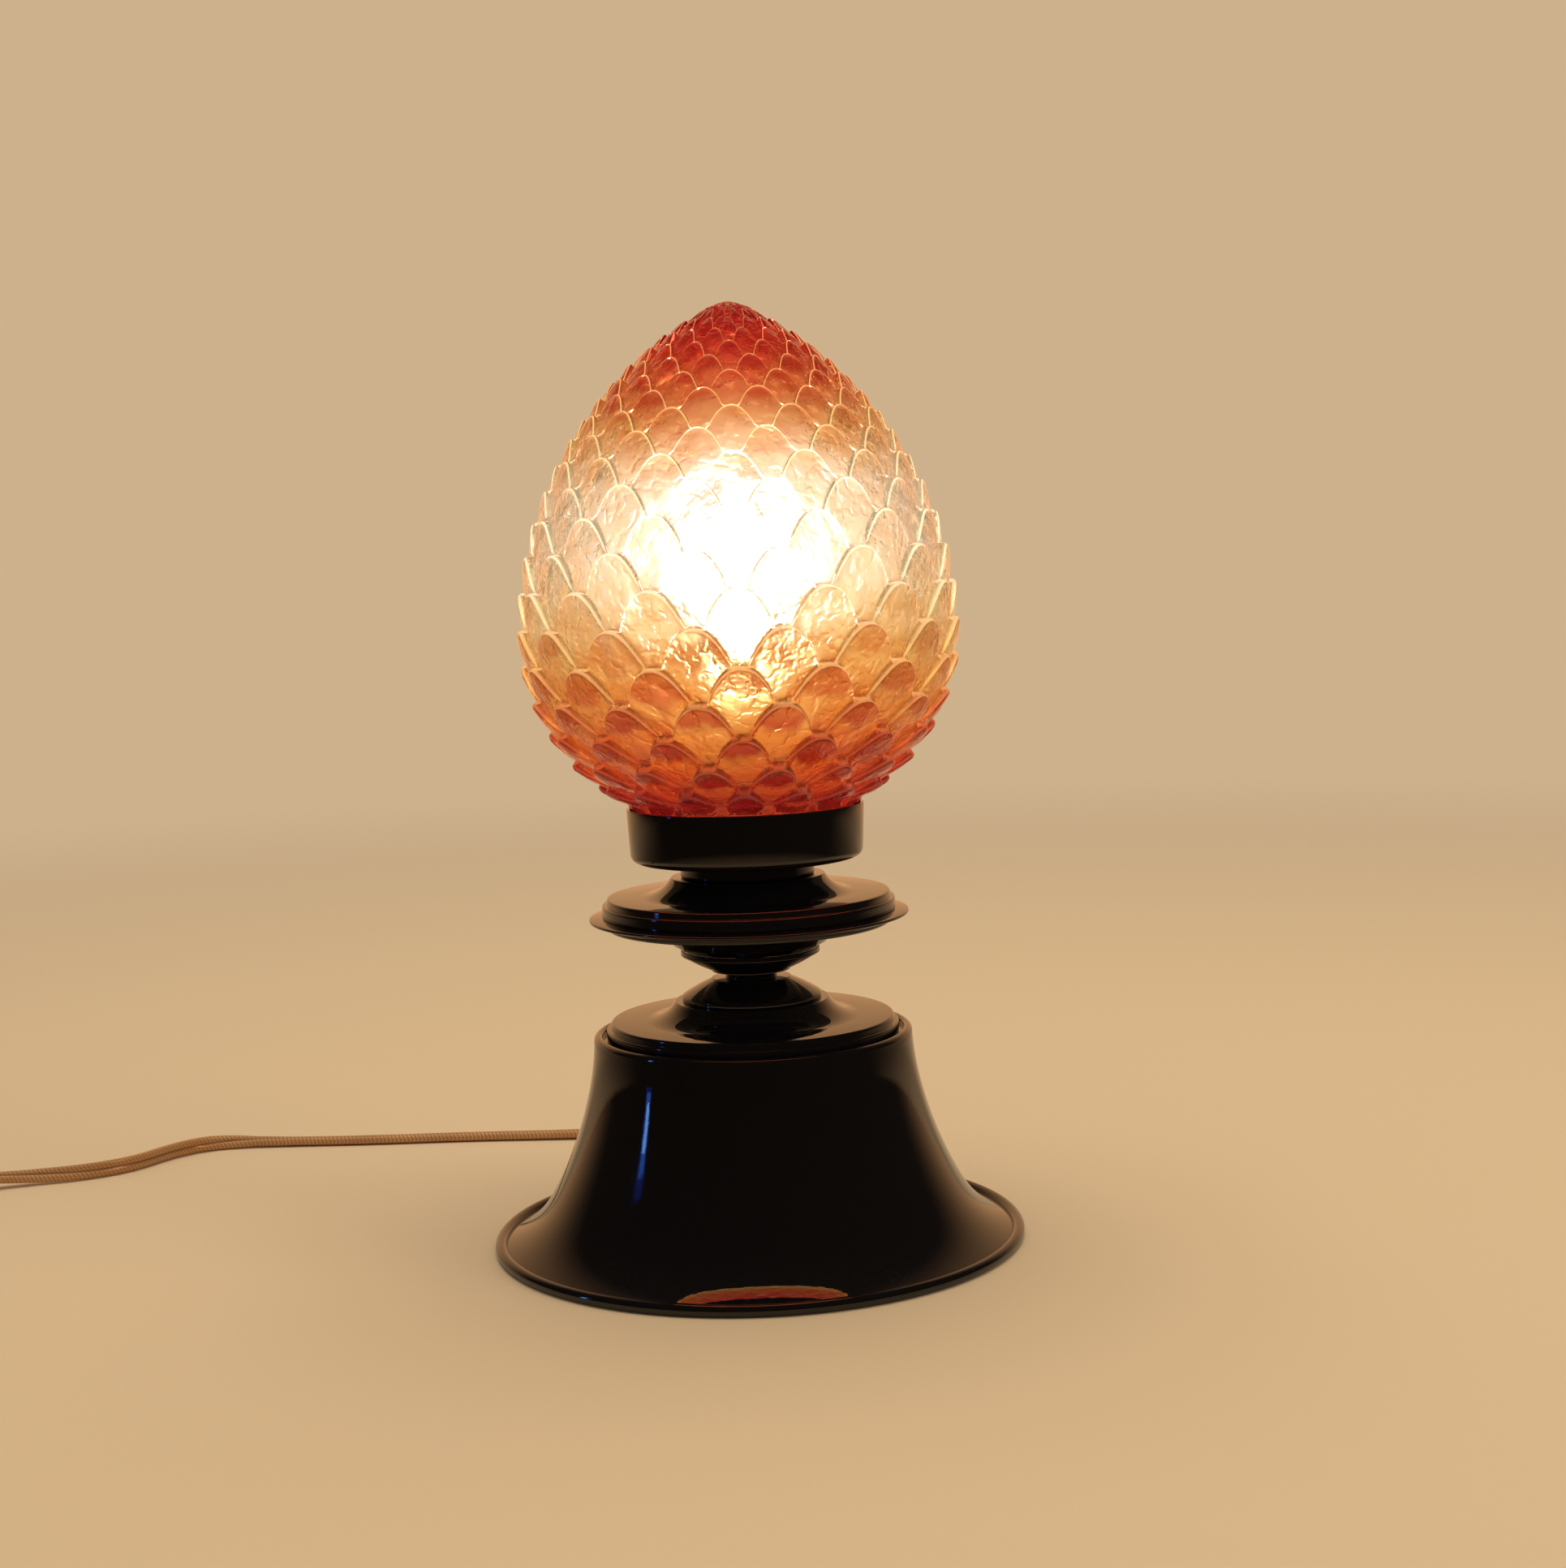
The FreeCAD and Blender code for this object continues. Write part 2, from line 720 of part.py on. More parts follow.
def make_cup(label, level, upright):
    """Domed cup with a plain rim and a fine raised ring round its boss."""
    mark = 1 if upright else -1
    ring = dims.cup_dome_rise + dims.cup_ring_rise
    body = new_body(label, level)
    turn(body, [
        (0, 0),
        (dims.cup_radius, 0),
        (dims.cup_radius, dims.cup_rim_rise * mark, dims.cup_dome_round * -mark),
        (dims.cup_dome_radius, dims.cup_dome_rise * mark),
        (dims.cup_dome_radius, ring * mark),
        (dims.cup_boss_radius, dims.cup_rise * mark),
        (0, dims.cup_rise * mark),
    ])
    hollow(body, dims.sheet_thick, 0)
    bore(body, rod_hole_radius)
    round_rings(body, dims.cup_rim_round, [(dims.cup_radius, dims.cup_rim_rise * mark)])


def make_stack():
    make_cover("base_cover", dims.plate_level, dims.cover_wall_rise, dims.cover_step_rise, True)
    make_cup("lower_cup", lower_cup_level, True)
    turned_piece("neck_spacer", neck_level, [
        (rod_hole_radius, 0),
        (dims.neck_radius, 0),
        (dims.neck_radius, dims.neck_rise),
        (rod_hole_radius, dims.neck_rise),
    ])
    make_cup("upper_cup", saucer_level, False)
    make_cover("saucer_bottom", brim_level, dims.under_wall_rise, dims.under_step_rise, False)
    brim = turned_piece("saucer_brim", brim_level, [
        (rod_hole_radius, 0),
        (brim_flat_radius, 0),
        (brim_radius, -dims.brim_drop),
        (brim_radius, dims.brim_thick - dims.brim_drop),
        (brim_flat_radius, dims.brim_thick),
        (rod_hole_radius, dims.brim_thick),
    ])
    lip = dims.brim_thick - dims.brim_drop
    round_rings(brim, dims.brim_edge_round, [(brim_radius, lip), (brim_radius, -dims.brim_drop)])
    make_cover("saucer_cover", saucer_cover_level, dims.cover_wall_rise, dims.cover_step_rise, True)
    spacer = turned_piece("collar_spacer", spacer_level, [
        (rod_hole_radius, 0),
        (dims.spacer_radius, 0),
        (dims.spacer_radius, dims.spacer_rise),
        (rod_hole_radius, dims.spacer_rise),
    ])
    round_rings(spacer, dims.spacer_round, [(dims.spacer_radius, 0), (dims.spacer_radius, dims.spacer_rise)])


def make_glass_holder():
    body = new_body("glass_holder", holder_level)
    turn(body, [
        (0, 0),
        (dims.holder_foot_radius, 0),
        (dims.holder_top_radius, dims.holder_rise),
        (0, dims.holder_rise),
    ])
    round_rings(body, dims.holder_corner_round, [(dims.holder_foot_radius, 0)])
    hollow(body, dims.holder_wall, dims.holder_rise)
    bore(body, rod_hole_radius)
    gasket_outer = glass_neck_radius
    gasket_inner = gasket_outer - dims.gasket_width
    turned_piece("holder_gasket", holder_floor, [
        (gasket_inner, 0),
        (gasket_outer, 0),
        (gasket_outer, dims.gasket_thick),
        (gasket_inner, dims.gasket_thick),
    ])


def make_glass_springs():
    """Three bowed leaves between the holder's wall and the neck of the glass."""
    lean = (dims.holder_top_radius - dims.holder_foot_radius) / dims.holder_rise
    foot_inside = dims.holder_foot_radius - dims.holder_wall
    wall_inside = min(foot_inside + lean * dims.spring_low, foot_inside + lean * dims.spring_high)
    half_width = dims.spring_width / 2
    back = root(wall_inside * wall_inside - half_width * half_width) - dims.spring_wall_gap
    front = back - dims.spring_thick
    half_length = (dims.spring_high - dims.spring_low) / 2
    bow = front - glass_neck_radius - dims.spring_glass_gap
    bend = (half_length * half_length + bow * bow) / (bow * 2)
    body = new_body("glass_springs", holder_level)
    leaf = pad(body, lambda sketch: draw(sketch, [
        (back, dims.spring_low, -bend),
        (back, dims.spring_high),
        (front, dims.spring_high, bend),
        (front, dims.spring_low),
    ]), dims.spring_width, role="XZ_Plane", symmetric=True)
    pattern = body.newObject("PartDesign::PolarPattern", "glass_springs_round")
    pattern.Originals = [leaf]
    pattern.Axis = (next(item for item in body.Origin.OriginFeatures if item.Role == "Z_Axis"), [""])
    pattern.Angle = 360
    pattern.setExpression("Occurrences", dims.spring_count.text)
    body.Tip = pattern


def egg_point(level):
    """Radius of the egg's outer envelope at a level measured from its waist."""
    if level >= 0:
        return dims.egg_radius * (1 - (level / dims.egg_upper_rise) ** 2) ** dims.egg_point
    return dims.egg_radius * math.sqrt(1 - (level / dims.egg_lower_drop) ** 2)


def egg_walk(start_level):
    """Points of the envelope from a start level to the tip, with the length walked."""
    walked = [(0.0, Vector(egg_point(start_level), 0, start_level))]
    for step in range(1, WALK_STEPS + 1):
        share = math.sin(math.pi / 2 * step / WALK_STEPS)
        level = start_level + (dims.egg_upper_rise - start_level) * share
        point = Vector(egg_point(level), 0, level)
        length = walked[-1][0] + (point - walked[-1][1]).Length
        walked.append((length, point))
    return walked


def on_walk(walked, length):
    """Point and outward direction of the envelope at a walked length."""
    for (low, before), (high, after) in zip(walked, walked[1:]):
        if low <= length <= high and high > low:
            share = (length - low) / (high - low)
            along = (after - before).normalize()
            return before + (after - before) * share, Vector(along.z, 0, -along.x)
    return walked[-1][1], Vector(0, 0, 1)


def scale_tips(total):
    """Walked lengths of the tips of the rows of scales, closer together near the top."""
    tips = []
    length = float(dims.scale_first)
    while length < total - dims.tip_knob_radius:
        tips.append(length)
        settled = (length - dims.scale_steady) / (dims.scale_settled - dims.scale_steady)
        share = min(1.0, max(0.0, settled))
        length += dims.scale_pitch + (dims.scale_pitch_top - dims.scale_pitch) * share
    return tips


def make_glass_shade():
    """Blown egg with a plain neck; each row of scales stands proud of the row above it."""
    neck_low = -dims.egg_waist_rise
    seat = holder_level + dims.holder_rise + dims.glass_seat_gap - glass_level
    shoulder = neck_low + seat
    walked = egg_walk(shoulder)
    total = walked[-1][0]
    neck_bore = glass_neck_radius - dims.glass_neck_wall
    outside = [Vector(neck_bore, 0, neck_low), Vector(glass_neck_radius, 0, neck_low),
               Vector(glass_neck_radius, 0, shoulder), walked[0][1]]
    for length in scale_tips(total):
        tip = on_walk(walked, length)[0]
        valley, outward = on_walk(walked, length + dims.scale_nose)
        outside += [tip, valley - outward * dims.scale_depth]
    outside.append(Vector(dims.tip_knob_radius / 2, 0, walked[-1][1].z))
    outside.append(Vector(0, 0, walked[-1][1].z))
    inside = []
    for step in range(CAVITY_STEPS + 1):
        point, outward = on_walk(walked, total * step / CAVITY_STEPS)
        inner = point - outward * dims.glass_wall
        if inner.x > dims.tip_knob_radius:
            inside.append(inner)
    cavity = Part.BSplineCurve()
    cavity.interpolate(inside)
    ceiling = Vector(0, 0, inside[-1].z)
    ledge = Vector(neck_bore, 0, inside[0].z - dims.glass_wall / 2)
    edges = [Part.makeLine(start, end) for start, end in zip(outside, outside[1:])]
    edges += [
        Part.makeLine(outside[-1], ceiling),
        Part.makeLine(ceiling, inside[-1]),
        cavity.toShape(),
        Part.makeLine(inside[0], ledge),
        Part.makeLine(ledge, outside[0]),
    ]
    shade = doc.addObject("Part::Feature", "glass_shade")
    shade.Shape = turn_wire(edges)
    shade.Placement = Placement(Vector(0, 0, glass_level + dims.egg_waist_rise), Rotation())
    keep(shade, "glass_shade")
    print(f"glass shade: {len(scale_tips(total))} rows of scales over {total:.1f} mm")


def make_lampholder():
    inner = dims.cap_radius - dims.cap_wall
    cap = turned_piece("lampholder_cap", cap_level, [
        (rod_hole_radius, 0),
        (dims.cap_entry_radius, 0),
        (dims.cap_entry_radius, dims.cap_entry_rise),
        (dims.cap_radius, dims.cap_shoulder_rise),
        (dims.cap_radius, dims.cap_rise),
        (inner, dims.cap_rise),
        (inner, dims.core_low),
        (inner - dims.cap_wall, dims.core_low),
        (inner - dims.cap_wall, dims.cap_shoulder_rise),
        (dims.cap_entry_radius - dims.cap_wall, dims.cap_floor),
        (rod_hole_radius, dims.cap_floor),
    ])
    round_rings(cap, dims.cap_wall, [(dims.cap_radius, dims.cap_shoulder_rise)])
    core_radius = inner - dims.core_gap
    turned_piece("lampholder_core", cap_level + dims.core_low, [
        (0, 0),
        (core_radius, 0),
        (core_radius, dims.core_rise),
        (0, dims.core_rise),
    ])
    turned_piece("centre_contact", contact_level, [
        (0, 0),
        (dims.contact_radius, 0),
        (dims.contact_radius, dims.contact_thick),
        (0, dims.contact_thick),
    ])
    shell_inner = dims.bulb_cap_radius + dims.shell_gap
    shell_outer = shell_inner + dims.shell_thick
    shell_top = dims.shell_top - dims.core_low - dims.core_rise
    shell_floor_hole = dims.contact_radius + dims.tip_radius / 2
    turned_piece("screw_shell", contact_level, [
        (shell_floor_hole, 0),
        (shell_outer, 0),
        (shell_outer, shell_top),
        (shell_inner, shell_top),
        (shell_inner, dims.shell_thick),
        (shell_floor_hole, dims.shell_thick),
    ])
    sleeve_inner = dims.sleeve_radius - dims.sleeve_wall
    lip_inner = shell_outer + dims.sleeve_lip_gap
    sleeve = turned_piece("lampholder_sleeve", cap_level + dims.cap_rise, [
        (sleeve_inner, 0),
        (dims.sleeve_radius, 0),
        (dims.sleeve_radius, dims.sleeve_rise),
        (lip_inner, dims.sleeve_rise),
        (lip_inner, dims.sleeve_rise - dims.sleeve_lip_thick),
        (sleeve_inner, dims.sleeve_rise - dims.sleeve_lip_thick),
    ])
    round_rings(sleeve, dims.sleeve_lip_thick / 2, [(dims.sleeve_radius, dims.sleeve_rise)])
    terminals = new_body("terminal_screws", cap_level + dims.core_low - dims.terminal_rise)
    screw = pad(terminals, lambda sketch: draw_circle(sketch, dims.terminal_spread, 0, dims.terminal_radius),
                dims.terminal_rise)
    pattern = terminals.newObject("PartDesign::PolarPattern", "terminal_screws_round")
    pattern.Originals = [screw]
    axis = next(item for item in terminals.Origin.OriginFeatures if item.Role == "Z_Axis")
    pattern.Axis = (axis, [""])
    pattern.Angle = 360
    pattern.Occurrences = 2
    terminals.Tip = pattern


def thread_root_radius():
    return dims.bulb_cap_radius - dims.thread_depth


def make_bulb():
    neck_radius = thread_root_radius() - dims.bulb_cap_wall - dims.bulb_neck_gap
    drop = dims.bulb_tangent_drop
    tangent_radius = root(dims.bulb_radius * dims.bulb_radius - drop * drop)
    globe_top = dims.bulb_centre_rise + dims.bulb_radius
    inner_share = (dims.bulb_radius - dims.bulb_wall) / dims.bulb_radius
    turned_piece("bulb_globe", bulb_level, [
        (neck_radius - dims.bulb_wall, dims.thread_low),
        (neck_radius, dims.thread_low),
        (neck_radius, dims.bulb_neck_rise, -dims.bulb_neck_round),
        (tangent_radius, dims.bulb_centre_rise - drop, dims.bulb_radius),
        (0, globe_top),
        (0, globe_top - dims.bulb_wall, -dims.bulb_radius + dims.bulb_wall),
        (tangent_radius * inner_share, dims.bulb_centre_rise - drop * inner_share,
         dims.bulb_neck_round + dims.bulb_wall),
        (neck_radius - dims.bulb_wall, dims.bulb_neck_rise),
    ])
    make_bulb_cap()
    insulator_top = dims.bulb_cap_low
    turned_piece("bulb_insulator", bulb_level, [
        (0, dims.insulator_low),
        (dims.tip_radius, dims.insulator_low),
        (dims.bulb_foot_radius, insulator_top),
        (0, insulator_top),
    ])
    turned_piece("bulb_tip", bulb_level, [
        (0, 0),
        (dims.tip_radius / 2, 0),
        (dims.tip_radius, dims.insulator_low),
        (0, dims.insulator_low),
    ])
    stem_foot_radius = neck_radius - dims.bulb_wall - dims.bulb_neck_gap
    turned_piece("bulb_stem", bulb_level, [
        (0, dims.thread_low),
        (stem_foot_radius, dims.thread_low),
        (dims.stem_radius, dims.thread_low + dims.stem_flare),
        (dims.stem_radius, dims.stem_rise),
        (0, dims.stem_rise),
    ])
    make_filament()


def make_bulb_cap():
    """Thin screw cap with rounded thread crests, open at the top."""
    low_radius = thread_root_radius()
    half_crest = dims.thread_crest / 2
    bend = (half_crest * half_crest + dims.thread_depth * dims.thread_depth) / (dims.thread_depth * 2)
    inner_radius = low_radius - dims.bulb_cap_wall
    corners = [(dims.bulb_foot_radius, dims.bulb_cap_low), (low_radius, dims.thread_low - dims.thread_crest / 2)]
    for crest in range(int(dims.thread_turns)):
        level = dims.thread_low + dims.thread_pitch * crest
        corners.append((low_radius, level, bend))
        corners.append((low_radius, level + dims.thread_crest))
    corners += [
        (low_radius, dims.bulb_cap_rise),
        (inner_radius, dims.bulb_cap_rise),
        (inner_radius, dims.thread_low - dims.thread_crest / 2),
        (dims.bulb_foot_radius - dims.bulb_cap_wall, dims.bulb_cap_low),
    ]
    turned_piece("bulb_cap", bulb_level, corners)


def make_filament():
    """Two leads and a wire between them, as one bent wire."""
    foot = dims.stem_radius - dims.wire_radius * 2
    spread = dims.wire_spread
    shoulder = spread - dims.wire_shoulder
    level = dims.stem_rise + dims.wire_rise
    points = [
        Vector(-foot, 0, dims.stem_rise),
        Vector(-foot, 0, dims.stem_rise + dims.wire_knee),
        Vector(-spread, 0, level - dims.wire_knee),
        Vector(-shoulder, 0, level),
        Vector(shoulder, 0, level),
        Vector(spread, 0, level - dims.wire_knee),
        Vector(foot, 0, dims.stem_rise + dims.wire_knee),
        Vector(foot, 0, dims.stem_rise),
    ]
    wire = doc.addObject("Part::Feature", "bulb_filament")
    wire.Shape = tube_solid(rounded_path(points), dims.wire_radius)
    wire.Placement = Placement(Vector(0, 0, bulb_level), Rotation())
    keep(wire, "bulb_filament")


def rounded_path(points, radii=None):
    """Straight runs joined by tangent arcs, each as large as its two runs allow."""
    edges = []
    here = points[0]
    for before, corner, after in zip(points, points[1:], points[2:]):
        arriving = corner - before
        leaving = after - corner
        half_turn = arriving.getAngle(leaving) / 2
        reach = ARC_SHARE * min(arriving.Length, leaving.Length)
        radius = reach / math.tan(half_turn)
        arriving.normalize()
        leaving.normalize()
        start = corner - arriving * reach
        end = corner + leaving * reach
        inward = (leaving - arriving).normalize()
        middle = corner + inward * (radius / math.cos(half_turn) - radius)
        edges.append(Part.LineSegment(here, start).toShape())
        edges.append(Part.Arc(start, middle, end).toShape())
        here = end
        if radii is not None:
            radii.append(radius)
    edges.append(Part.LineSegment(here, points[-1]).toShape())
    return Part.Wire(edges)


def tube_solid(path, radius):
    """Round tube along a path of lines and arcs."""
    first = path.OrderedEdges[0]
    circle = Part.Circle(first.firstVertex().Point, first.tangentAt(first.FirstParameter), radius)
    return path.makePipeShell([Part.Wire(circle.toShape())], True, False)


def make_cord(label, route):
    radii = []
    path = rounded_path([Vector(*point) for point in route], radii)
    cord = doc.addObject("Part::Feature", label)
    cord.Shape = tube_solid(path, dims.cord_radius)
    keep(cord, label)
    expected = math.pi * dims.cord_radius ** 2 * path.Length
    print(f"{label}: length {path.Length:.1f}, volume ratio {cord.Shape.Volume / expected:.5f}, radii",
          " ".join(f"{radius:.0f}" for radius in radii))
    return path.Length


def make_inner_lead():
    """Flex inside the lamp: in through the grommet, up the rod, to the lampholder's core."""
    start = cord_exit()
    bend = float(dims.lead_bend)
    top = cap_level + dims.core_low
    half = math.sqrt(0.5)
    low = Vector(0, bend, start.z)
    high = Vector(0, 0, start.z + bend)
    middle = Vector(0, bend * (1 - half), start.z + bend * (1 - half))
    path = Part.Wire([
        Part.LineSegment(start, low).toShape(),
        Part.Arc(low, middle, high).toShape(),
        Part.LineSegment(high, Vector(0, 0, top)).toShape(),
    ])
    lead = doc.addObject("Part::Feature", "inner_lead")
    lead.Shape = tube_solid(path, dims.cord_radius)
    keep(lead, "inner_lead")


def make_grommet():
    """Strain relief: a cone outside the bell, a barrel through it and a collar inside it."""
    level = cord_exit().z
    along = Vector(0, 1, 0)
    wall_inside = Vector(0, bell_inner_radius(level), level)
    nose = Vector(0, dims.base_radius + dims.grommet_reach, level)
    reach = nose.y - wall_inside.y
    slope = (dims.grommet_radius - dims.grommet_nose_radius) / reach
    back = dims.grommet_radius
    cone = Part.makeCone(dims.grommet_radius + slope * back, dims.grommet_nose_radius, reach + back,
                         wall_inside - along * back, along)
    boss = cone.cut(bell_core(dims.grommet_gap))
    collar_start = wall_inside - along * dims.grommet_collar_length
    barrel = Part.makeCylinder(dims.grommet_barrel_radius, dims.grommet_collar_length + reach / 2,
                               collar_start, along)
    collar = Part.makeCylinder(dims.grommet_collar_radius, reach, collar_start, along)
    inside = bell_core(-dims.bell_wall - dims.grommet_gap)
    hole = Part.makeCylinder(cord_hole_radius, reach * 4, nose - along * (reach * 3), along)
    grommet = doc.addObject("Part::Feature", "cord_grommet")
    grommet.Shape = boss.fuse(barrel).fuse(collar.common(inside)).cut(hole).removeSplitter()
    keep(grommet, "cord_grommet")


def heading_of(route):
    before, end = Vector(*route[-2]), Vector(*route[-1])
    return math.degrees(math.atan2(end.y - before.y, end.x - before.x))


def lay(piece, route, level):
    """Put a piece of the flex at the end of a route, along its last run."""
    x, y, _ = route[-1]
    piece.Placement = Placement(Vector(x, y, level), Rotation(Vector(0, 0, 1), heading_of(route)))


def rounded_rectangle(sketch, length, width, corner, start):
    """Rectangle with round corners, centred on the X axis, from a start along it."""
    half = width / 2
    end = start + length
    draw(sketch, [
        (start + corner, -half),
        (end - corner, -half, corner),
        (end, -half + corner),
        (end, half - corner, corner),
        (end - corner, half),
        (start + corner, half, corner),
        (start, half - corner),
        (start, -half + corner, corner),
    ])


def block_outline(sketch, start, length, low, width):
    draw(sketch, [
        (start, low),
        (start + length, low),
        (start + length, low + width),
        (start, low + width),
    ])


def outline_edges(shape, level):
    """Names of a shape's edges that lie in a plane at a level."""
    return [
        f"Edge{index}"
        for index, edge in enumerate(shape.Edges, start=1)
        if abs(edge.BoundBox.ZMin - level) < SAME_PLACE and abs(edge.BoundBox.ZMax - level) < SAME_PLACE
    ]


def round_outline(body, size, level):
    base = body.Tip
    fillet = body.newObject("PartDesign::Fillet", f"{body.Label}_round")
    fillet.Base = (base, outline_edges(base.Shape, level))
    fillet.setExpression("Radius", size.text)
    doc.recompute()


def make_switch():
    """Hand switch on the flex: two shells, a rocker on a pin and two contact strips."""
    zero = dims.switch_length * 0
    wall = dims.switch_wall
    inside_length = dims.switch_length - wall * 2
    inside_width = dims.switch_width - wall * 2
    inside_corner = dims.switch_corner - wall
    middle = dims.switch_length / 2

    def whole(sketch):
        rounded_rectangle(sketch, dims.switch_length, dims.switch_width, dims.switch_corner, zero)

    def hollow_outline(sketch):
        rounded_rectangle(sketch, inside_length, inside_width, inside_corner, wall)

    base = new_body("switch_base")
    pad(base, whole, dims.switch_split)
    round_outline(base, dims.switch_edge_round, 0)
    pocket(base, hollow_outline, dims.switch_split - wall, offset=dims.switch_split)
    lay(base, RUN_ROUTE, 0)

    cover = new_body("switch_cover")
    pad(cover, whole, dims.switch_rise - dims.switch_split, offset=dims.switch_split)
    round_outline(cover, dims.switch_edge_round, dims.switch_rise)
    pocket(cover, hollow_outline, dims.switch_rise - dims.switch_split - wall,
           offset=dims.switch_split, upward=True)
    open_length = dims.rocker_length + dims.rocker_gap * 2
    open_width = dims.rocker_width + dims.rocker_gap * 2
    rib_low = dims.switch_rise - dims.rib_depth
    for side in (-1, 1):
        low = open_width / 2 if side > 0 else -open_width / 2 - dims.rib_wall
        pad(cover, lambda sketch, low=low: block_outline(sketch, middle - dims.rib_length / 2,
                                                         dims.rib_length, low, dims.rib_wall),
            dims.rib_depth - wall / 2, offset=rib_low)
    pocket(cover, lambda sketch: block_outline(sketch, middle - open_length / 2, open_length,
                                               -open_width / 2, open_width),
           dims.rib_depth, offset=dims.switch_rise)
    axis_level = dims.switch_rise - dims.rocker_axis_drop
    pocket(cover, lambda sketch: draw_circle(sketch, middle, axis_level, dims.pin_radius),
           open_width + dims.rib_wall * 2, role="XZ_Plane", through=True)
    lay(cover, RUN_ROUTE, 0)

    rocker = new_body("switch_rocker")
    half = dims.rocker_length / 2
    pad(rocker, lambda sketch: draw(sketch, [
        (middle - half, dims.switch_rise - dims.rocker_depth),
        (middle + half, dims.switch_rise - dims.rocker_depth),
        (middle + half, dims.switch_rise + dims.rocker_rise, -dims.rocker_dish_round),
        (middle - half, dims.switch_rise + dims.rocker_rise),
    ]), dims.rocker_width, role="XZ_Plane", symmetric=True)
    pocket(rocker, lambda sketch: draw_circle(sketch, middle, axis_level, dims.pin_radius + dims.pin_gap),
           None, role="XZ_Plane", through=True)
    lay(rocker, RUN_ROUTE, 0)

    pin = new_body("switch_pin")
    pad(pin, lambda sketch: draw_circle(sketch, middle, axis_level, dims.pin_radius),
        open_width + dims.rib_wall * 2, role="XZ_Plane", symmetric=True)
    lay(pin, RUN_ROUTE, 0)

    strips = new_body("switch_contacts")
    for side in (-1, 1):
        start = middle + dims.strip_spread * side - dims.strip_length / 2
        pad(strips, lambda sketch, start=start: block_outline(sketch, start, dims.strip_length,
                                                              -dims.strip_width / 2, dims.strip_width),
            dims.strip_thick, offset=wall)
    lay(strips, RUN_ROUTE, 0)


def coil_point(turns):
    """Centre of the coiled flex after a number of turns, in its own frame.

    It spirals in on the table, climbs a layer in the half turn where the spiral
    reverses and spirals out on top.
    """
    climb_start = (COIL_TURNS - COIL_CLIMB_TURNS) / 2
    climbed = min(1.0, max(0.0, (turns - climb_start) / COIL_CLIMB_TURNS))
    radius = dims.coil_outer_radius - dims.coil_pitch * min(turns, COIL_TURNS - turns)
    angle = math.pi + 2 * math.pi * turns
    return Vector(radius * math.cos(angle), radius * math.sin(angle), dims.coil_pitch * climbed)


def coil_along(turns):
    """Direction of the coiled flex, level wherever it doesn't climb."""
    along = coil_point(turns + TURN_GLANCE) - coil_point(turns - TURN_GLANCE)
    if abs(turns - COIL_TURNS / 2) >= COIL_CLIMB_TURNS / 2:
        along.z = 0
    return along.normalize()


def biarc(start, start_along, end, end_along):
    """Two arcs between two points, tangent to each other and to both directions."""
    span = end - start
    total = start_along + end_along
    spread = 2 * (1 - start_along.dot(end_along))
    reach = (-span.dot(total) + math.sqrt(span.dot(total) ** 2 + spread * span.dot(span))) / spread
    first_corner = start + start_along * reach
    last_corner = end - end_along * reach
    joint = (first_corner + last_corner) * 0.5
    arcs = []
    for begin, corner, finish in ((start, first_corner, joint), (joint, last_corner, end)):
        chord_middle = (begin + finish) * 0.5
        half_turn = math.asin((corner - chord_middle).Length / reach)
        crest = corner + (chord_middle - corner) * (math.tan(half_turn / 2) / math.sin(half_turn))
        arcs.append(Part.Arc(begin, crest, finish).toShape())
    return arcs


def coil_path():
    """One unbroken path: a straight end, quarter turns as pairs of arcs, a straight end."""
    count = COIL_TURNS * 4
    step = COIL_TURNS / count
    points = [coil_point(step * index) for index in range(count + 1)]
    alongs = [coil_along(step * index) for index in range(count + 1)]
    alongs[0] = alongs[-1] = Vector(0, -1, 0)
    diameter = dims.cord_radius * 2
    edges = [Part.makeLine(points[0] - alongs[0] * diameter, points[0])]
    for index in range(count):
        edges += biarc(points[index], alongs[index], points[index + 1], alongs[index + 1])
    edges.append(Part.makeLine(points[-1], points[-1] + alongs[-1] * diameter))
    return Part.Wire(edges)


def least_self_gap(path, diameter):
    """Least gap between turns, measured on points along the path."""
    points = path.discretize(Distance=GAP_SPACING)
    spacing = path.Length / (len(points) - 1)
    apart = int(diameter * GAP_DIAMETERS / spacing)
    least = min(
        (points[later] - point).Length
        for index, point in enumerate(points)
        for later in range(index + apart, len(points))
    )
    return least - diameter


def make_coil():
    path = coil_path()
    coil = doc.addObject("Part::Feature", "cord_coil")
    coil.Shape = tube_solid(path, dims.cord_radius)
    coil.Placement = Placement(Vector(*COIL_CENTRE), Rotation())
    keep(coil, "cord_coil")
    diameter = dims.cord_radius * 2
    expected = math.pi * dims.cord_radius ** 2 * path.Length
    print(f"cord_coil: length {path.Length:.1f}, volume ratio {coil.Shape.Volume / expected:.5f},",
          f"least gap between turns {least_self_gap(path, diameter):.2f}")
    return path.Length


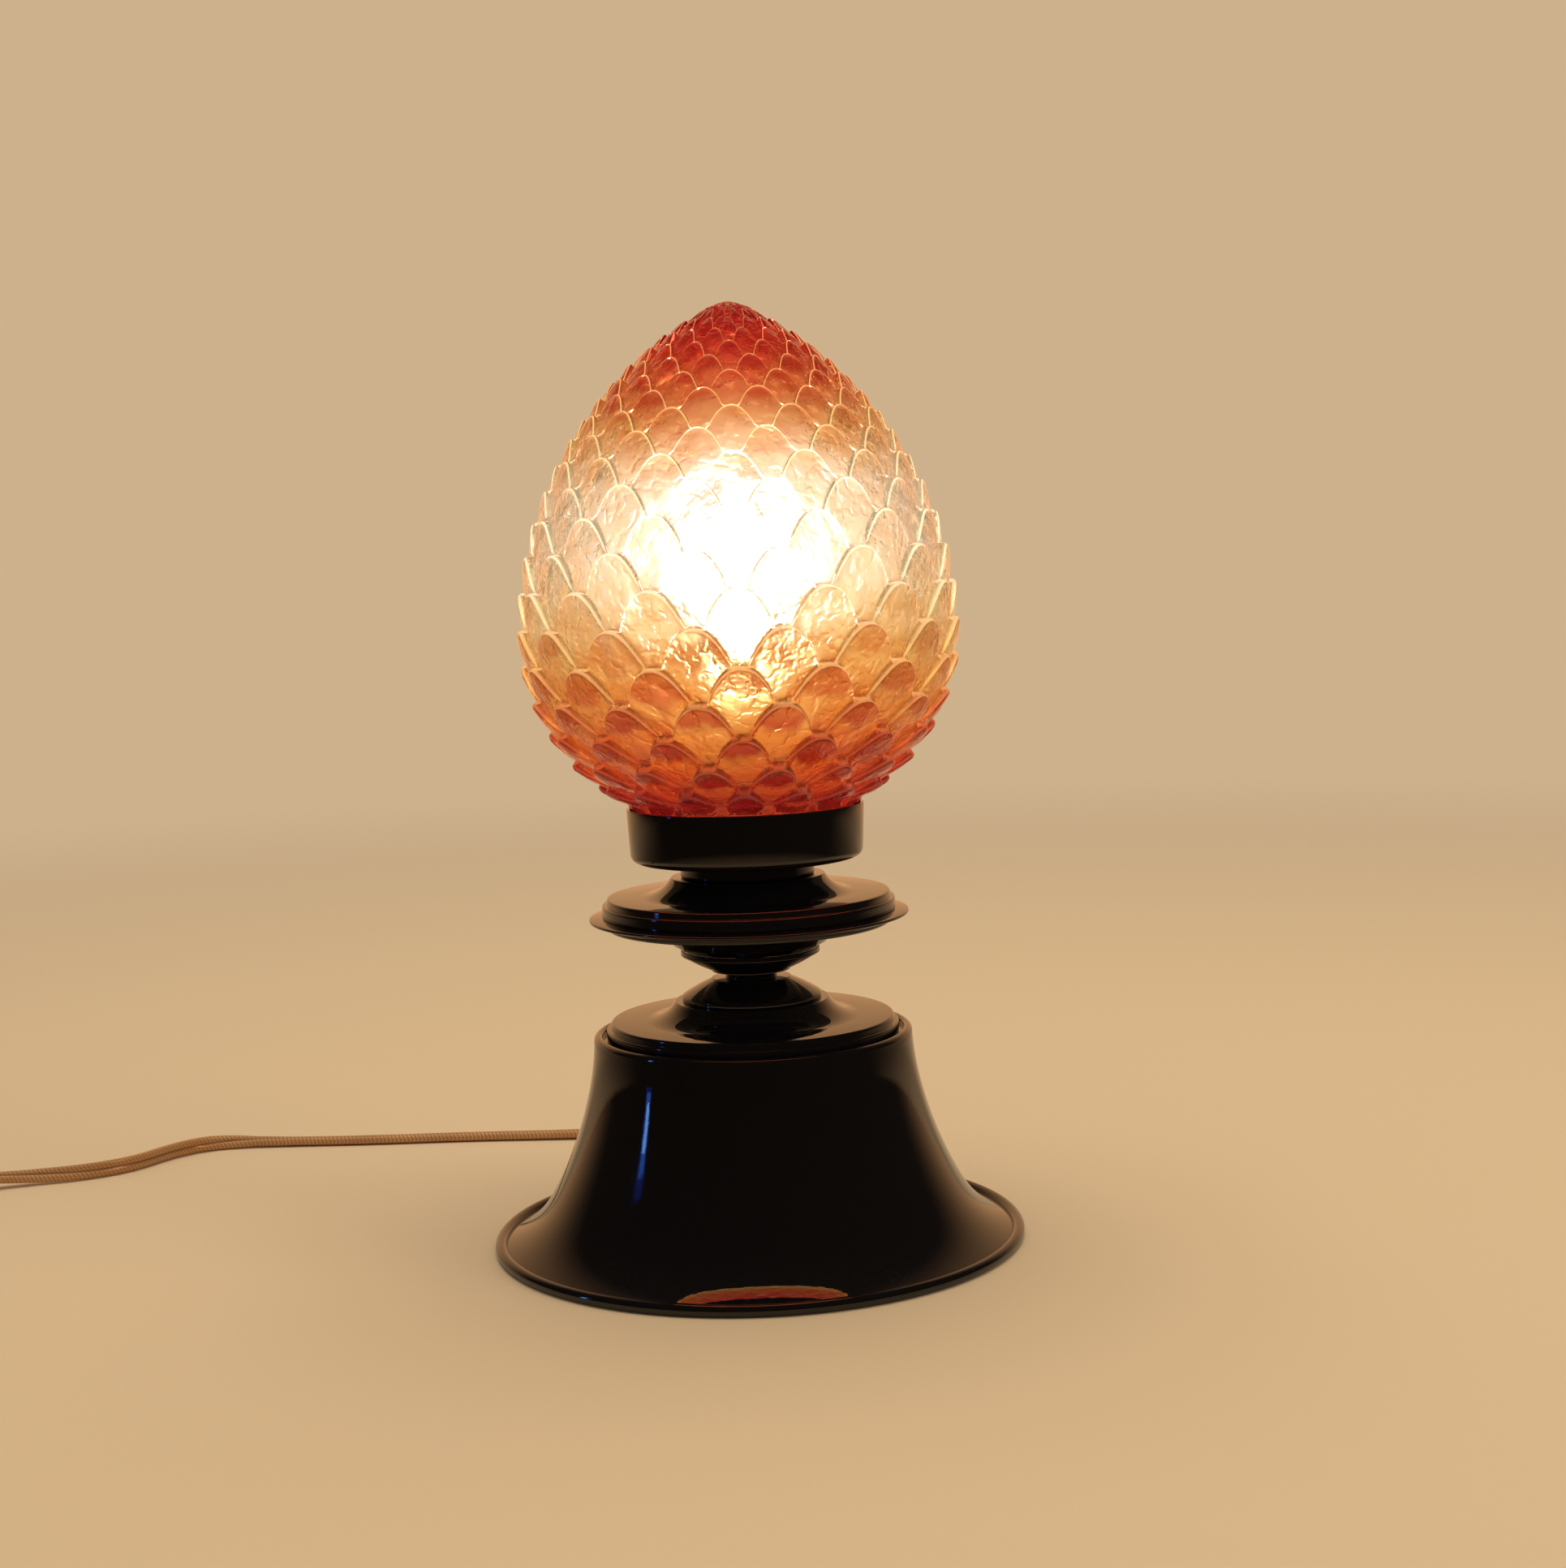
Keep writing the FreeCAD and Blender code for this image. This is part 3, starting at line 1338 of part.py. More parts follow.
def make_plug():
    """Flat plug on the end of the flex: ribbed relief, body and two part-sleeved pins."""
    level = TAIL_ROUTE[-1][2]
    along_x = Rotation(Vector(0, 1, 0), 90)
    heading = Rotation(Vector(0, 0, 1), heading_of(TAIL_ROUTE))
    relief = new_body("plug_relief")
    slope = (dims.relief_radius - dims.relief_nose_radius) / dims.relief_length
    corners = [(0, 0), (dims.relief_nose_radius, 0)]
    for slot in range(int(dims.relief_slots)):
        near = dims.relief_slot_first + dims.relief_slot_pitch * slot
        far = near + dims.relief_slot
        near_radius = dims.relief_nose_radius + slope * near
        far_radius = dims.relief_nose_radius + slope * far
        corners += [(near_radius, near), (near_radius - dims.relief_slot_depth, near),
                    (far_radius - dims.relief_slot_depth, far), (far_radius, far)]
    corners += [(dims.relief_radius, dims.relief_length), (0, dims.relief_length)]
    turn(relief, corners)
    x, y, _ = TAIL_ROUTE[-1]
    relief.Placement = Placement(Vector(x, y, level), heading * along_x)

    body = new_body("plug_body")
    half_rear = dims.plug_rear_width / 2
    half_front = dims.plug_width / 2
    rear = dims.relief_length
    taper = rear + dims.plug_taper_length
    front = rear + dims.plug_length
    pad(body, lambda sketch: draw(sketch, [
        (rear, -half_rear),
        (taper, -half_front),
        (front, -half_front),
        (front, half_front),
        (taper, half_front),
        (rear, half_rear),
    ]), dims.plug_thick, symmetric=True)
    round_outline(body, dims.plug_edge_round, dims.plug_thick / 2)
    round_outline(body, dims.plug_edge_round, -dims.plug_thick / 2)
    lay(body, TAIL_ROUTE, level)

    cores = []
    tips = []
    sleeves = []
    holes = []
    bare = dims.blade_length - dims.collar_length
    for index, side in enumerate((-1, 1)):
        for group, name, radius, length, start in (
            (cores, "pin_core", dims.blade_core_radius, dims.collar_length, front),
            (tips, "pin_tip", dims.blade_radius, bare, front + dims.collar_length),
            (sleeves, "sleeve_outside", dims.blade_radius, dims.collar_length, front),
            (holes, "sleeve_hole", dims.blade_core_radius + dims.collar_gap, dims.collar_length, front),
        ):
            item = cylinder(f"{name}_{index}", radius, length)
            item.Placement = Placement(Vector(start, 0, 0), along_x)
            item.setExpression("Placement.Base.x", start.text)
            item.setExpression("Placement.Base.y", (dims.blade_spread * (side / 2)).text)
            group.append(item)
    pins = doc.addObject("Part::MultiFuse", "plug_pins")
    pins.Shapes = cores + tips
    lay(keep(pins, "plug_pins"), TAIL_ROUTE, level)
    outside = doc.addObject("Part::MultiFuse", "sleeves_outside")
    outside.Shapes = sleeves
    inside = doc.addObject("Part::MultiFuse", "sleeves_inside")
    inside.Shapes = holes
    lay(cut_piece("plug_sleeves", outside, inside), TAIL_ROUTE, level)


def check_document():
    """Stop at the first object that failed or has no sound shape."""
    for item in doc.Objects:
        if "Invalid" in item.State or "Error" in item.State:
            raise RuntimeError(f"{item.Label} failed: {item.State}")
    for piece in nodes:
        if piece.Shape.isNull() or not piece.Shape.isValid() or not piece.Shape.Solids:
            raise RuntimeError(f"{piece.Label} has no sound shape")


def export_parts():
    os.makedirs("parts", exist_ok=True)
    for piece in nodes:
        piece.Shape.exportStep(f"parts/{piece.Label}.step")


make_base_bell()
make_base_underside()
make_rod_and_hardware()
make_stack()
make_glass_holder()
make_glass_springs()
make_glass_shade()
make_lampholder()
make_bulb()
make_inner_lead()
make_grommet()
cord_length = make_cord("cord_run", RUN_ROUTE)
make_switch()
cord_length += make_cord("cord_link", LINK_ROUTE)
cord_length += make_coil()
cord_length += make_cord("cord_tail", TAIL_ROUTE)
make_plug()
doc.recompute()
check_document()
export_parts()
print(f"{len(nodes)} pieces, free flex {cord_length:.0f} mm")
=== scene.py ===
"""Looks of a glass table lamp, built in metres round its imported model."""
import json
import logging
import math
from dataclasses import dataclass, field
from enum import Enum
from functools import reduce
from typing import ClassVar

import bpy
import numpy as np
from mathutils import Matrix, Vector

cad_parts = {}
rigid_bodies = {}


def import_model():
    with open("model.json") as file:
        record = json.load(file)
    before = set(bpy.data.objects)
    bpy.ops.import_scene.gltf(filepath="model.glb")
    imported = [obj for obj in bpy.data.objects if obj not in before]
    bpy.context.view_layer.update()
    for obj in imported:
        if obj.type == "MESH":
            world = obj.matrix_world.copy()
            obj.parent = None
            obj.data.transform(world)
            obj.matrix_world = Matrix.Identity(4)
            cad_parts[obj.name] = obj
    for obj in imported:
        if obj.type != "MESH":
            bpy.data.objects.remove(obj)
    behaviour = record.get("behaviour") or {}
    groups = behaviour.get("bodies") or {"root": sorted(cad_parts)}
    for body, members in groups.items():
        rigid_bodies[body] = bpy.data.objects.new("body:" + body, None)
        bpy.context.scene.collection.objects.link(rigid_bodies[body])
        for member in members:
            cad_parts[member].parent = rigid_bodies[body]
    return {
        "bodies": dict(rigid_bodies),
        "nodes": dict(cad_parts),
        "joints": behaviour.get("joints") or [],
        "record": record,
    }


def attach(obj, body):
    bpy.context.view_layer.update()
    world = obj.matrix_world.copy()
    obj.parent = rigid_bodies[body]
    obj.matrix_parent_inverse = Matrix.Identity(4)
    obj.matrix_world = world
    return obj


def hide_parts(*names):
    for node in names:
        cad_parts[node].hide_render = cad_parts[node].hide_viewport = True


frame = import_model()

LOG = logging.getLogger("lamp")
MM = 0.001
FULL_TURN = 2 * math.pi
TINY = 1e-9
ROD_BORE = 5.15

Colour = tuple[float, float, float]
Point2 = tuple[float, float]
Point3 = tuple[float, float, float]
Corner = tuple[float, ...]
Stops = tuple[tuple[float, Colour], ...]
Socket = bpy.types.NodeSocket

BLACK: Colour = (0.0, 0.0, 0.0)
WHITE: Colour = (1.0, 1.0, 1.0)


class Body(Enum):
    """The bodies that the new pieces ride on."""

    LAMP = "lamp"
    SHADE = "shade"


class Slot(Enum):
    """The record's material slots."""

    ENAMEL = "black_enamel"
    AMBER_GLASS = "amber_glass"
    BULB_GLASS = "bulb_glass"
    STEEL = "steel"
    NICKEL = "nickel"
    BRASS = "brass"
    CERAMIC = "ceramic"
    PLASTIC = "black_plastic"
    BLACK_GLASS = "black_glass"
    RUBBER = "gasket_rubber"
    FELT = "felt"
    BOARD = "hardboard"
    FLEX = "gold_flex"
    TUNGSTEN = "tungsten"


class Bench:
    """Modelling moves that the pieces share, made in edit mode as by hand."""

    @staticmethod
    def clear() -> None:
        """Leave edit mode and let go of everything."""
        if bpy.context.mode != "OBJECT":
            bpy.ops.object.mode_set(mode="OBJECT")
        bpy.ops.object.select_all(action="DESELECT")

    @staticmethod
    def start_point(name: str, at: Point3) -> bpy.types.Object:
        """Start a piece as one point, ready to be extruded.

        Args:
            name: the piece's name.
            at: where the point stands, in metres.

        Returns:
            The new object, in edit mode.
        """
        Bench.clear()
        bpy.ops.mesh.primitive_plane_add(size=MM, location=(0, 0, 0))
        piece = bpy.context.active_object
        piece.name = name
        piece.data.name = name
        bpy.ops.object.mode_set(mode="EDIT")
        bpy.ops.mesh.select_all(action="SELECT")
        bpy.ops.mesh.merge(type="CENTER")
        bpy.ops.transform.translate(value=at)
        return piece

    @staticmethod
    def trace(points: list[Point3]) -> None:
        """Extrude the picked point along a line of points.

        Args:
            points: the whole line in metres, its first point being the picked one.
        """
        for before, after in zip(points, points[1:]):
            step = tuple(end - begin for begin, end in zip(before, after))
            bpy.ops.mesh.extrude_region_move(TRANSFORM_OT_translate={"value": step})

    @staticmethod
    def lathe(name: str, outline: list[Point2], steps: int = 160) -> bpy.types.Object:
        """Spin an outline of (radius, level) in millimetres about the lamp's axis.

        Args:
            name: the piece's name.
            outline: the line to spin; a closed one repeats its first point.
            steps: faces round the piece.

        Returns:
            The spun object, with merged seams and consistent normals.
        """
        points = [(radius * MM, 0.0, level * MM) for radius, level in outline]
        piece = Bench.start_point(name, points[0])
        Bench.trace(points)
        bpy.ops.mesh.select_all(action="SELECT")
        bpy.ops.mesh.spin(steps=steps, angle=FULL_TURN, center=(0, 0, 0), axis=(0, 0, 1))
        Bench.tidy()
        return piece

    @staticmethod
    def pick(piece: bpy.types.Object) -> None:
        """Pick one piece and let go of the others."""
        Bench.clear()
        piece.select_set(True)
        bpy.context.view_layer.objects.active = piece

    @staticmethod
    def face_outwards() -> None:
        """Turn the faces outwards and leave edit mode."""
        bpy.ops.mesh.select_all(action="SELECT")
        bpy.ops.mesh.normals_make_consistent(inside=False)
        bpy.ops.object.mode_set(mode="OBJECT")

    @staticmethod
    def tidy(apart: float = 1e-6) -> None:
        """Merge doubles, drop faces with no area and turn the faces outwards."""
        bpy.ops.mesh.select_all(action="SELECT")
        bpy.ops.mesh.remove_doubles(threshold=apart)
        bpy.ops.mesh.dissolve_degenerate(threshold=apart)
        Bench.face_outwards()

    @staticmethod
    def smooth(piece: bpy.types.Object, degrees: float) -> None:
        """Shade a piece smooth across its gentle edges."""
        Bench.pick(piece)
        bpy.ops.object.shade_smooth_by_angle(angle=math.radians(degrees))


class Outline:
    """Lines and arcs of an outline, in millimetres."""

    @staticmethod
    def arc(start: Point2, end: Point2, radius: float, leftward: bool, steps: int = 10) -> list[Point2]:
        """Points of an arc from start to end, without the start.

        Args:
            start: first point.
            end: last point.
            radius: the arc's radius.
            leftward: whether the centre lies left of the way from start to end.
            steps: runs in the arc.

        Returns:
            The points after the start, ending at the end.
        """
        middle = ((start[0] + end[0]) / 2, (start[1] + end[1]) / 2)
        dx, dy = end[0] - start[0], end[1] - start[1]
        chord = math.hypot(dx, dy)
        rise = math.sqrt(max(0.0, radius ** 2 - chord ** 2 / 4)) * (1 if leftward else -1)
        centre = (middle[0] - dy / chord * rise, middle[1] + dx / chord * rise)
        first = math.atan2(start[1] - centre[1], start[0] - centre[0])
        sweep = 2 * math.asin(min(1.0, chord / (2 * radius))) * (1 if leftward else -1)
        return [
            (centre[0] + radius * math.cos(first + sweep * step / steps),
             centre[1] + radius * math.sin(first + sweep * step / steps))
            for step in range(1, steps + 1)
        ]

    @staticmethod
    def rounded(corners: list[Corner], steps: int = 5) -> list[Point2]:
        """Close a line of corners and round the ones that carry a radius.

        Args:
            corners: (x, y) or (x, y, round) corners in order.
            steps: runs in each rounding.

        Returns:
            The closed line, which repeats its first point.
        """
        line: list[Point2] = []
        for index, corner in enumerate(corners):
            here = Vector(corner[:2])
            size = corner[2] if len(corner) > 2 else 0.0
            if size <= 0:
                line.append((here.x, here.y))
                continue
            back = (Vector(corners[index - 1][:2]) - here).normalized()
            ahead = (Vector(corners[(index + 1) % len(corners)][:2]) - here).normalized()
            half = math.acos(max(-1.0, min(1.0, back.dot(ahead)))) / 2
            reach = size / math.tan(half)
            centre = here + (back + ahead).normalized() * (size / math.sin(half))
            begin = here + back * reach - centre
            finish = here + ahead * reach - centre
            turn = begin.angle_signed(finish)
            for step in range(steps + 1):
                angle = -turn * step / steps
                x = begin.x * math.cos(angle) - begin.y * math.sin(angle)
                y = begin.x * math.sin(angle) + begin.y * math.cos(angle)
                line.append((centre.x + x, centre.y + y))
        return [*line, line[0]]


class Nodes:
    """Short moves for wiring a material's nodes."""

    def __init__(self, tree: bpy.types.NodeTree) -> None:
        """Keep the tree that the nodes go into."""
        self.tree = tree

    def add(self, kind: str, **settings: object) -> bpy.types.Node:
        """Add a node and set its properties."""
        node = self.tree.nodes.new(kind)
        for name, value in settings.items():
            setattr(node, name, value)
        return node

    def link(self, source: Socket, target: Socket) -> None:
        """Join two sockets."""
        self.tree.links.new(source, target)

    def feed(self, value: object, socket: Socket) -> None:
        """Link a socket's value, or set a plain one."""
        if isinstance(value, bpy.types.NodeSocket):
            self.link(value, socket)
        else:
            socket.default_value = value

    def fill(self, node: bpy.types.Node, inputs: dict[str, object]) -> None:
        """Feed several inputs of a node by name."""
        for name, value in inputs.items():
            self.feed(value, node.inputs[name])

    def math(self, operation: str, first: object, second: object = 0.0) -> Socket:
        """One Math node."""
        node = self.add("ShaderNodeMath", operation=operation)
        self.feed(first, node.inputs[0])
        self.feed(second, node.inputs[1])
        return node.outputs[0]

    def times(self, *factors: object) -> Socket:
        """Multiply values."""
        return reduce(lambda done, factor: self.math("MULTIPLY", done, factor), factors)

    def plus(self, *terms: object) -> Socket:
        """Add values up."""
        return reduce(lambda done, term: self.math("ADD", done, term), terms)

    def less(self, first: object, second: object) -> Socket:
        """Take the second value from the first."""
        return self.math("SUBTRACT", first, second)

    def span(self, value: object, low: float, high: float, to_low: float = 0.0, to_high: float = 1.0) -> Socket:
        """Map a value smoothly from one range to another."""
        node = self.add("ShaderNodeMapRange", interpolation_type="SMOOTHSTEP")
        self.fill(node, {"Value": value, "From Min": low, "From Max": high, "To Min": to_low, "To Max": to_high})
        return node.outputs["Result"]

    def mix(self, share: object, first: object, second: object) -> Socket:
        """Mix two colours."""
        node = self.add("ShaderNodeMix", data_type="RGBA")
        self.feed(share, node.inputs["Factor"])
        for value, name in ((first, "A"), (second, "B")):
            socket = next(s for s in node.inputs if s.name == name and s.type == "RGBA")
            self.feed(value if isinstance(value, bpy.types.NodeSocket) else (*value, 1.0), socket)
        return next(s for s in node.outputs if s.type == "RGBA")

    def tinted(self, colour: object, tint: object) -> Socket:
        """Multiply two colours."""
        product = self.mix(1.0, colour, tint)
        product.node.blend_type = "MULTIPLY"
        return product

    def noise(self, vector: Socket, scale: object, detail: float = 2.0, roughness: float = 0.5) -> Socket:
        """Noise with a scale per metre."""
        node = self.add("ShaderNodeTexNoise")
        self.fill(node, {"Vector": vector, "Scale": scale, "Detail": detail, "Roughness": roughness})
        return node.outputs["Fac"]

    def place(self) -> Socket:
        """Object coordinates."""
        return self.add("ShaderNodeTexCoord").outputs["Object"]

    def part(self, vector: Socket, axis: str) -> Socket:
        """One coordinate of a vector."""
        node = self.add("ShaderNodeSeparateXYZ")
        self.link(vector, node.inputs[0])
        return node.outputs[axis]

    def facing(self, blend: float) -> Socket:
        """How far a face is turned from the eye."""
        node = self.add("ShaderNodeLayerWeight")
        node.inputs["Blend"].default_value = blend
        return node.outputs["Facing"]

    def attribute(self, name: str) -> Socket:
        """A value that the mesh carries."""
        return self.add("ShaderNodeAttribute", attribute_name=name).outputs["Fac"]

    def ramp(self, value: object, stops: list[tuple[float, Colour]]) -> Socket:
        """Colour ramp with the given stops."""
        node = self.add("ShaderNodeValToRGB")
        node.color_ramp.interpolation = "EASE"
        elements = node.color_ramp.elements
        while len(elements) < len(stops):
            elements.new(0.5)
        for element, (position, colour) in zip(elements, stops):
            element.position = position
            element.color = (*colour, 1.0)
        self.feed(value, node.inputs["Fac"])
        return node.outputs["Color"]

    def bump(self, height: object, strength: float, distance: float) -> Socket:
        """Bump from a height, with its distance in metres."""
        node = self.add("ShaderNodeBump")
        self.fill(node, {"Strength": strength, "Distance": distance, "Height": height})
        return node.outputs["Normal"]

    def effect(self, group: bpy.types.NodeTree, place: Socket) -> bpy.types.Node:
        """Put in a shared effect."""
        node = self.add("ShaderNodeGroup", node_tree=group)
        self.link(place, node.inputs["Place"])
        return node

    def output(self) -> bpy.types.Node:
        """The tree's own output."""
        return next(node for node in self.tree.nodes if node.type.startswith("OUTPUT_"))

    def blend(self, share: Socket, first: bpy.types.Node, second: bpy.types.Node) -> None:
        """Mix two shaders into the surface."""
        node = self.add("ShaderNodeMixShader")
        for source, target in zip((share, first.outputs[0], second.outputs[0]), node.inputs):
            self.link(source, target)
        self.link(node.outputs[0], self.output().inputs["Surface"])


class Effects:
    """Shader groups that several finishes use, each built once."""

    @staticmethod
    def group(name: str, amounts: dict[str, float],
              masks: tuple[str, ...]) -> tuple[Nodes, bpy.types.Node, bpy.types.Node]:
        """Start a group that turns a place into masks.

        Args:
            name: the group's name.
            amounts: its amounts by name, each with its default.
            masks: names of the masks that it gives.

        Returns:
            Its wiring helper, its input node and its output node.
        """
        tree = bpy.data.node_groups.new(name, "ShaderNodeTree")
        tree.interface.new_socket(name="Place", in_out="INPUT", socket_type="NodeSocketVector")
        for label, amount in amounts.items():
            socket = tree.interface.new_socket(name=label, in_out="INPUT", socket_type="NodeSocketFloat")
            socket.default_value = amount
        for label in masks:
            tree.interface.new_socket(name=label, in_out="OUTPUT", socket_type="NodeSocketFloat")
        wiring = Nodes(tree)
        return wiring, wiring.add("NodeGroupInput"), wiring.add("NodeGroupOutput")

    @staticmethod
    def handling() -> bpy.types.NodeTree:
        """Dull patches and fine hairlines that handling leaves, as masks of roughness.

        Returns:
            The group, with how dull a spot is and how far it lies on a hairline.
        """
        found = bpy.data.node_groups.get("handling")
        if found:
            return found
        wiring, given, result = Effects.group("handling", {"Patches": 18.0, "Hairlines": 0.5}, ("Dull", "Lines"))
        place = given.outputs["Place"]
        patches = wiring.noise(place, given.outputs["Patches"], 4.0)
        streaks = []
        for turn, stretch in ((0.6, (30, 900, 30)), (-0.9, (900, 24, 40))):
            mapping = wiring.add("ShaderNodeMapping")
            wiring.fill(mapping, {"Vector": place, "Scale": stretch, "Rotation": (turn, turn / 2, turn)})
            streaks.append(wiring.span(wiring.noise(mapping.outputs["Vector"], 1.0, 3.0), 0.66, 0.74))
        lines = wiring.math("MAXIMUM", *streaks)
        wiring.fill(result, {
            "Dull": wiring.span(patches, 0.45, 0.72),
            "Lines": wiring.times(lines, given.outputs["Hairlines"]),
        })
        return wiring.tree

    @staticmethod
    def dust() -> bpy.types.NodeTree:
        """Dust on faces that look up, as a mask.

        Returns:
            The group, with how far a spot is dusty.
        """
        found = bpy.data.node_groups.get("dust")
        if found:
            return found
        wiring, given, result = Effects.group("dust", {"Amount": 0.3}, ("Dust",))
        place = given.outputs["Place"]
        normal = wiring.add("ShaderNodeNewGeometry").outputs["Normal"]
        upward = wiring.span(wiring.part(normal, "Z"), 0.55, 1.0)
        specks = wiring.span(wiring.noise(place, 1400.0, 3.0, 0.7), 0.5, 0.75)
        drift = wiring.span(wiring.noise(place, 60.0, 3.0, 0.6), 0.3, 0.8, 0.25, 1.0)
        wiring.link(wiring.times(specks, drift, upward, given.outputs["Amount"]), result.inputs["Dust"])
        return wiring.tree


def start_material(name: str) -> tuple[bpy.types.Material, Nodes, bpy.types.Node]:
    """Start a material.

    Args:
        name: the material's name.

    Returns:
        The material, its wiring helper and its Principled shader.
    """
    material = bpy.data.materials.new(name)
    material.use_nodes = True
    shader = next(node for node in material.node_tree.nodes if node.type == "BSDF_PRINCIPLED")
    return material, Nodes(material.node_tree), shader


@dataclass(frozen=True)
class Enamel:
    """Gloss black stove enamel on spun metal."""

    name: str = "black_enamel"
    colour: Colour = (0.0042, 0.0036, 0.0036)
    dust_colour: Colour = (0.22, 0.19, 0.16)
    dusty: float = 0.10
    gloss: float = 0.03
    handled: float = 0.09
    scratched: float = 0.16
    peel: float = 420.0
    peel_depth: float = 0.00004
    shine: float = 0.55

    def make(self) -> bpy.types.Material:
        """Build the material.

        Returns:
            The enamel, with handling, dust and a faint orange peel.
        """
        material, wiring, shader = start_material(self.name)
        place = wiring.place()
        handling = wiring.effect(Effects.handling(), place)
        dust = wiring.effect(Effects.dust(), place)
        dust.inputs["Amount"].default_value = self.dusty
        speck = dust.outputs["Dust"]
        rough = wiring.plus(wiring.times(handling.outputs["Dull"], self.handled),
                            wiring.times(handling.outputs["Lines"], self.scratched), self.gloss)
        wiring.fill(shader, {
            "Base Color": wiring.mix(speck, self.colour, self.dust_colour),
            "Roughness": wiring.math("MAXIMUM", rough, speck),
            "Normal": wiring.bump(wiring.noise(place, self.peel), 0.25, self.peel_depth),
            "Specular IOR Level": self.shine,
        })
        return material


@dataclass(frozen=True)
class Plain:
    """A finish of one main colour with grain, for the pieces that hardly show."""

    name: str
    colour: Colour
    shade: Colour
    roughness: float
    metallic: float = 0.0
    grain: float = 600.0
    grain_depth: float = 0.00003
    # Painted light: colour of a glow standing in for the bulb's light on the piece, and the levels over which it
    # fades in.
    lit: Colour | None = None
    lit_levels: Point2 = (0.140, 0.190)

    def make(self) -> bpy.types.Material:
        """Build the material, with the bulb's light painted on as a glow where it would be lit.

        Returns:
            The finish.
        """
        material, wiring, shader = start_material(self.name)
        place = wiring.place()
        grain = wiring.noise(place, self.grain, 3.0, 0.6)
        blotch = wiring.span(wiring.noise(place, self.grain / 14, 3.0), 0.35, 0.7)
        dull = wiring.times(wiring.effect(Effects.handling(), place).outputs["Dull"], 0.14)
        wiring.fill(shader, {
            "Base Color": wiring.mix(blotch, self.colour, self.shade),
            "Roughness": wiring.plus(dull, self.roughness, wiring.times(grain, 0.12)),
            "Normal": wiring.bump(grain, 0.4, self.grain_depth),
            "Metallic": self.metallic,
        })
        # Painted light: an emission glow standing in for the bulb's light, stronger towards the top.
        if self.lit:
            near = wiring.span(wiring.part(place, "Z"), *self.lit_levels, 0.25, 1.0)
            wiring.fill(shader, {"Emission Color": wiring.mix(near, BLACK, self.lit), "Emission Strength": 1.0})
        return material


@dataclass(frozen=True)
class SoftBox:
    """A soft light that looks at the lamp, placed in metres, with its power in watts."""

    name: str
    at: Point3
    size: Point2
    power: float
    colour: Colour
    in_gloss: bool = True
    aim: ClassVar[Point3] = (0.0, 0.0, 0.15)

    def make(self) -> None:
        """Hang the light."""
        data = bpy.data.lights.new(self.name, "AREA")
        data.shape = "RECTANGLE"
        data.size, data.size_y = self.size
        data.energy = self.power
        data.color = self.colour
        light = bpy.data.objects.new(self.name, data)
        bpy.context.scene.collection.objects.link(light)
        light.location = self.at
        light.rotation_euler = (Vector(self.aim) - Vector(self.at)).to_track_quat("-Z", "Y").to_euler()
        light.visible_glossy = self.in_gloss


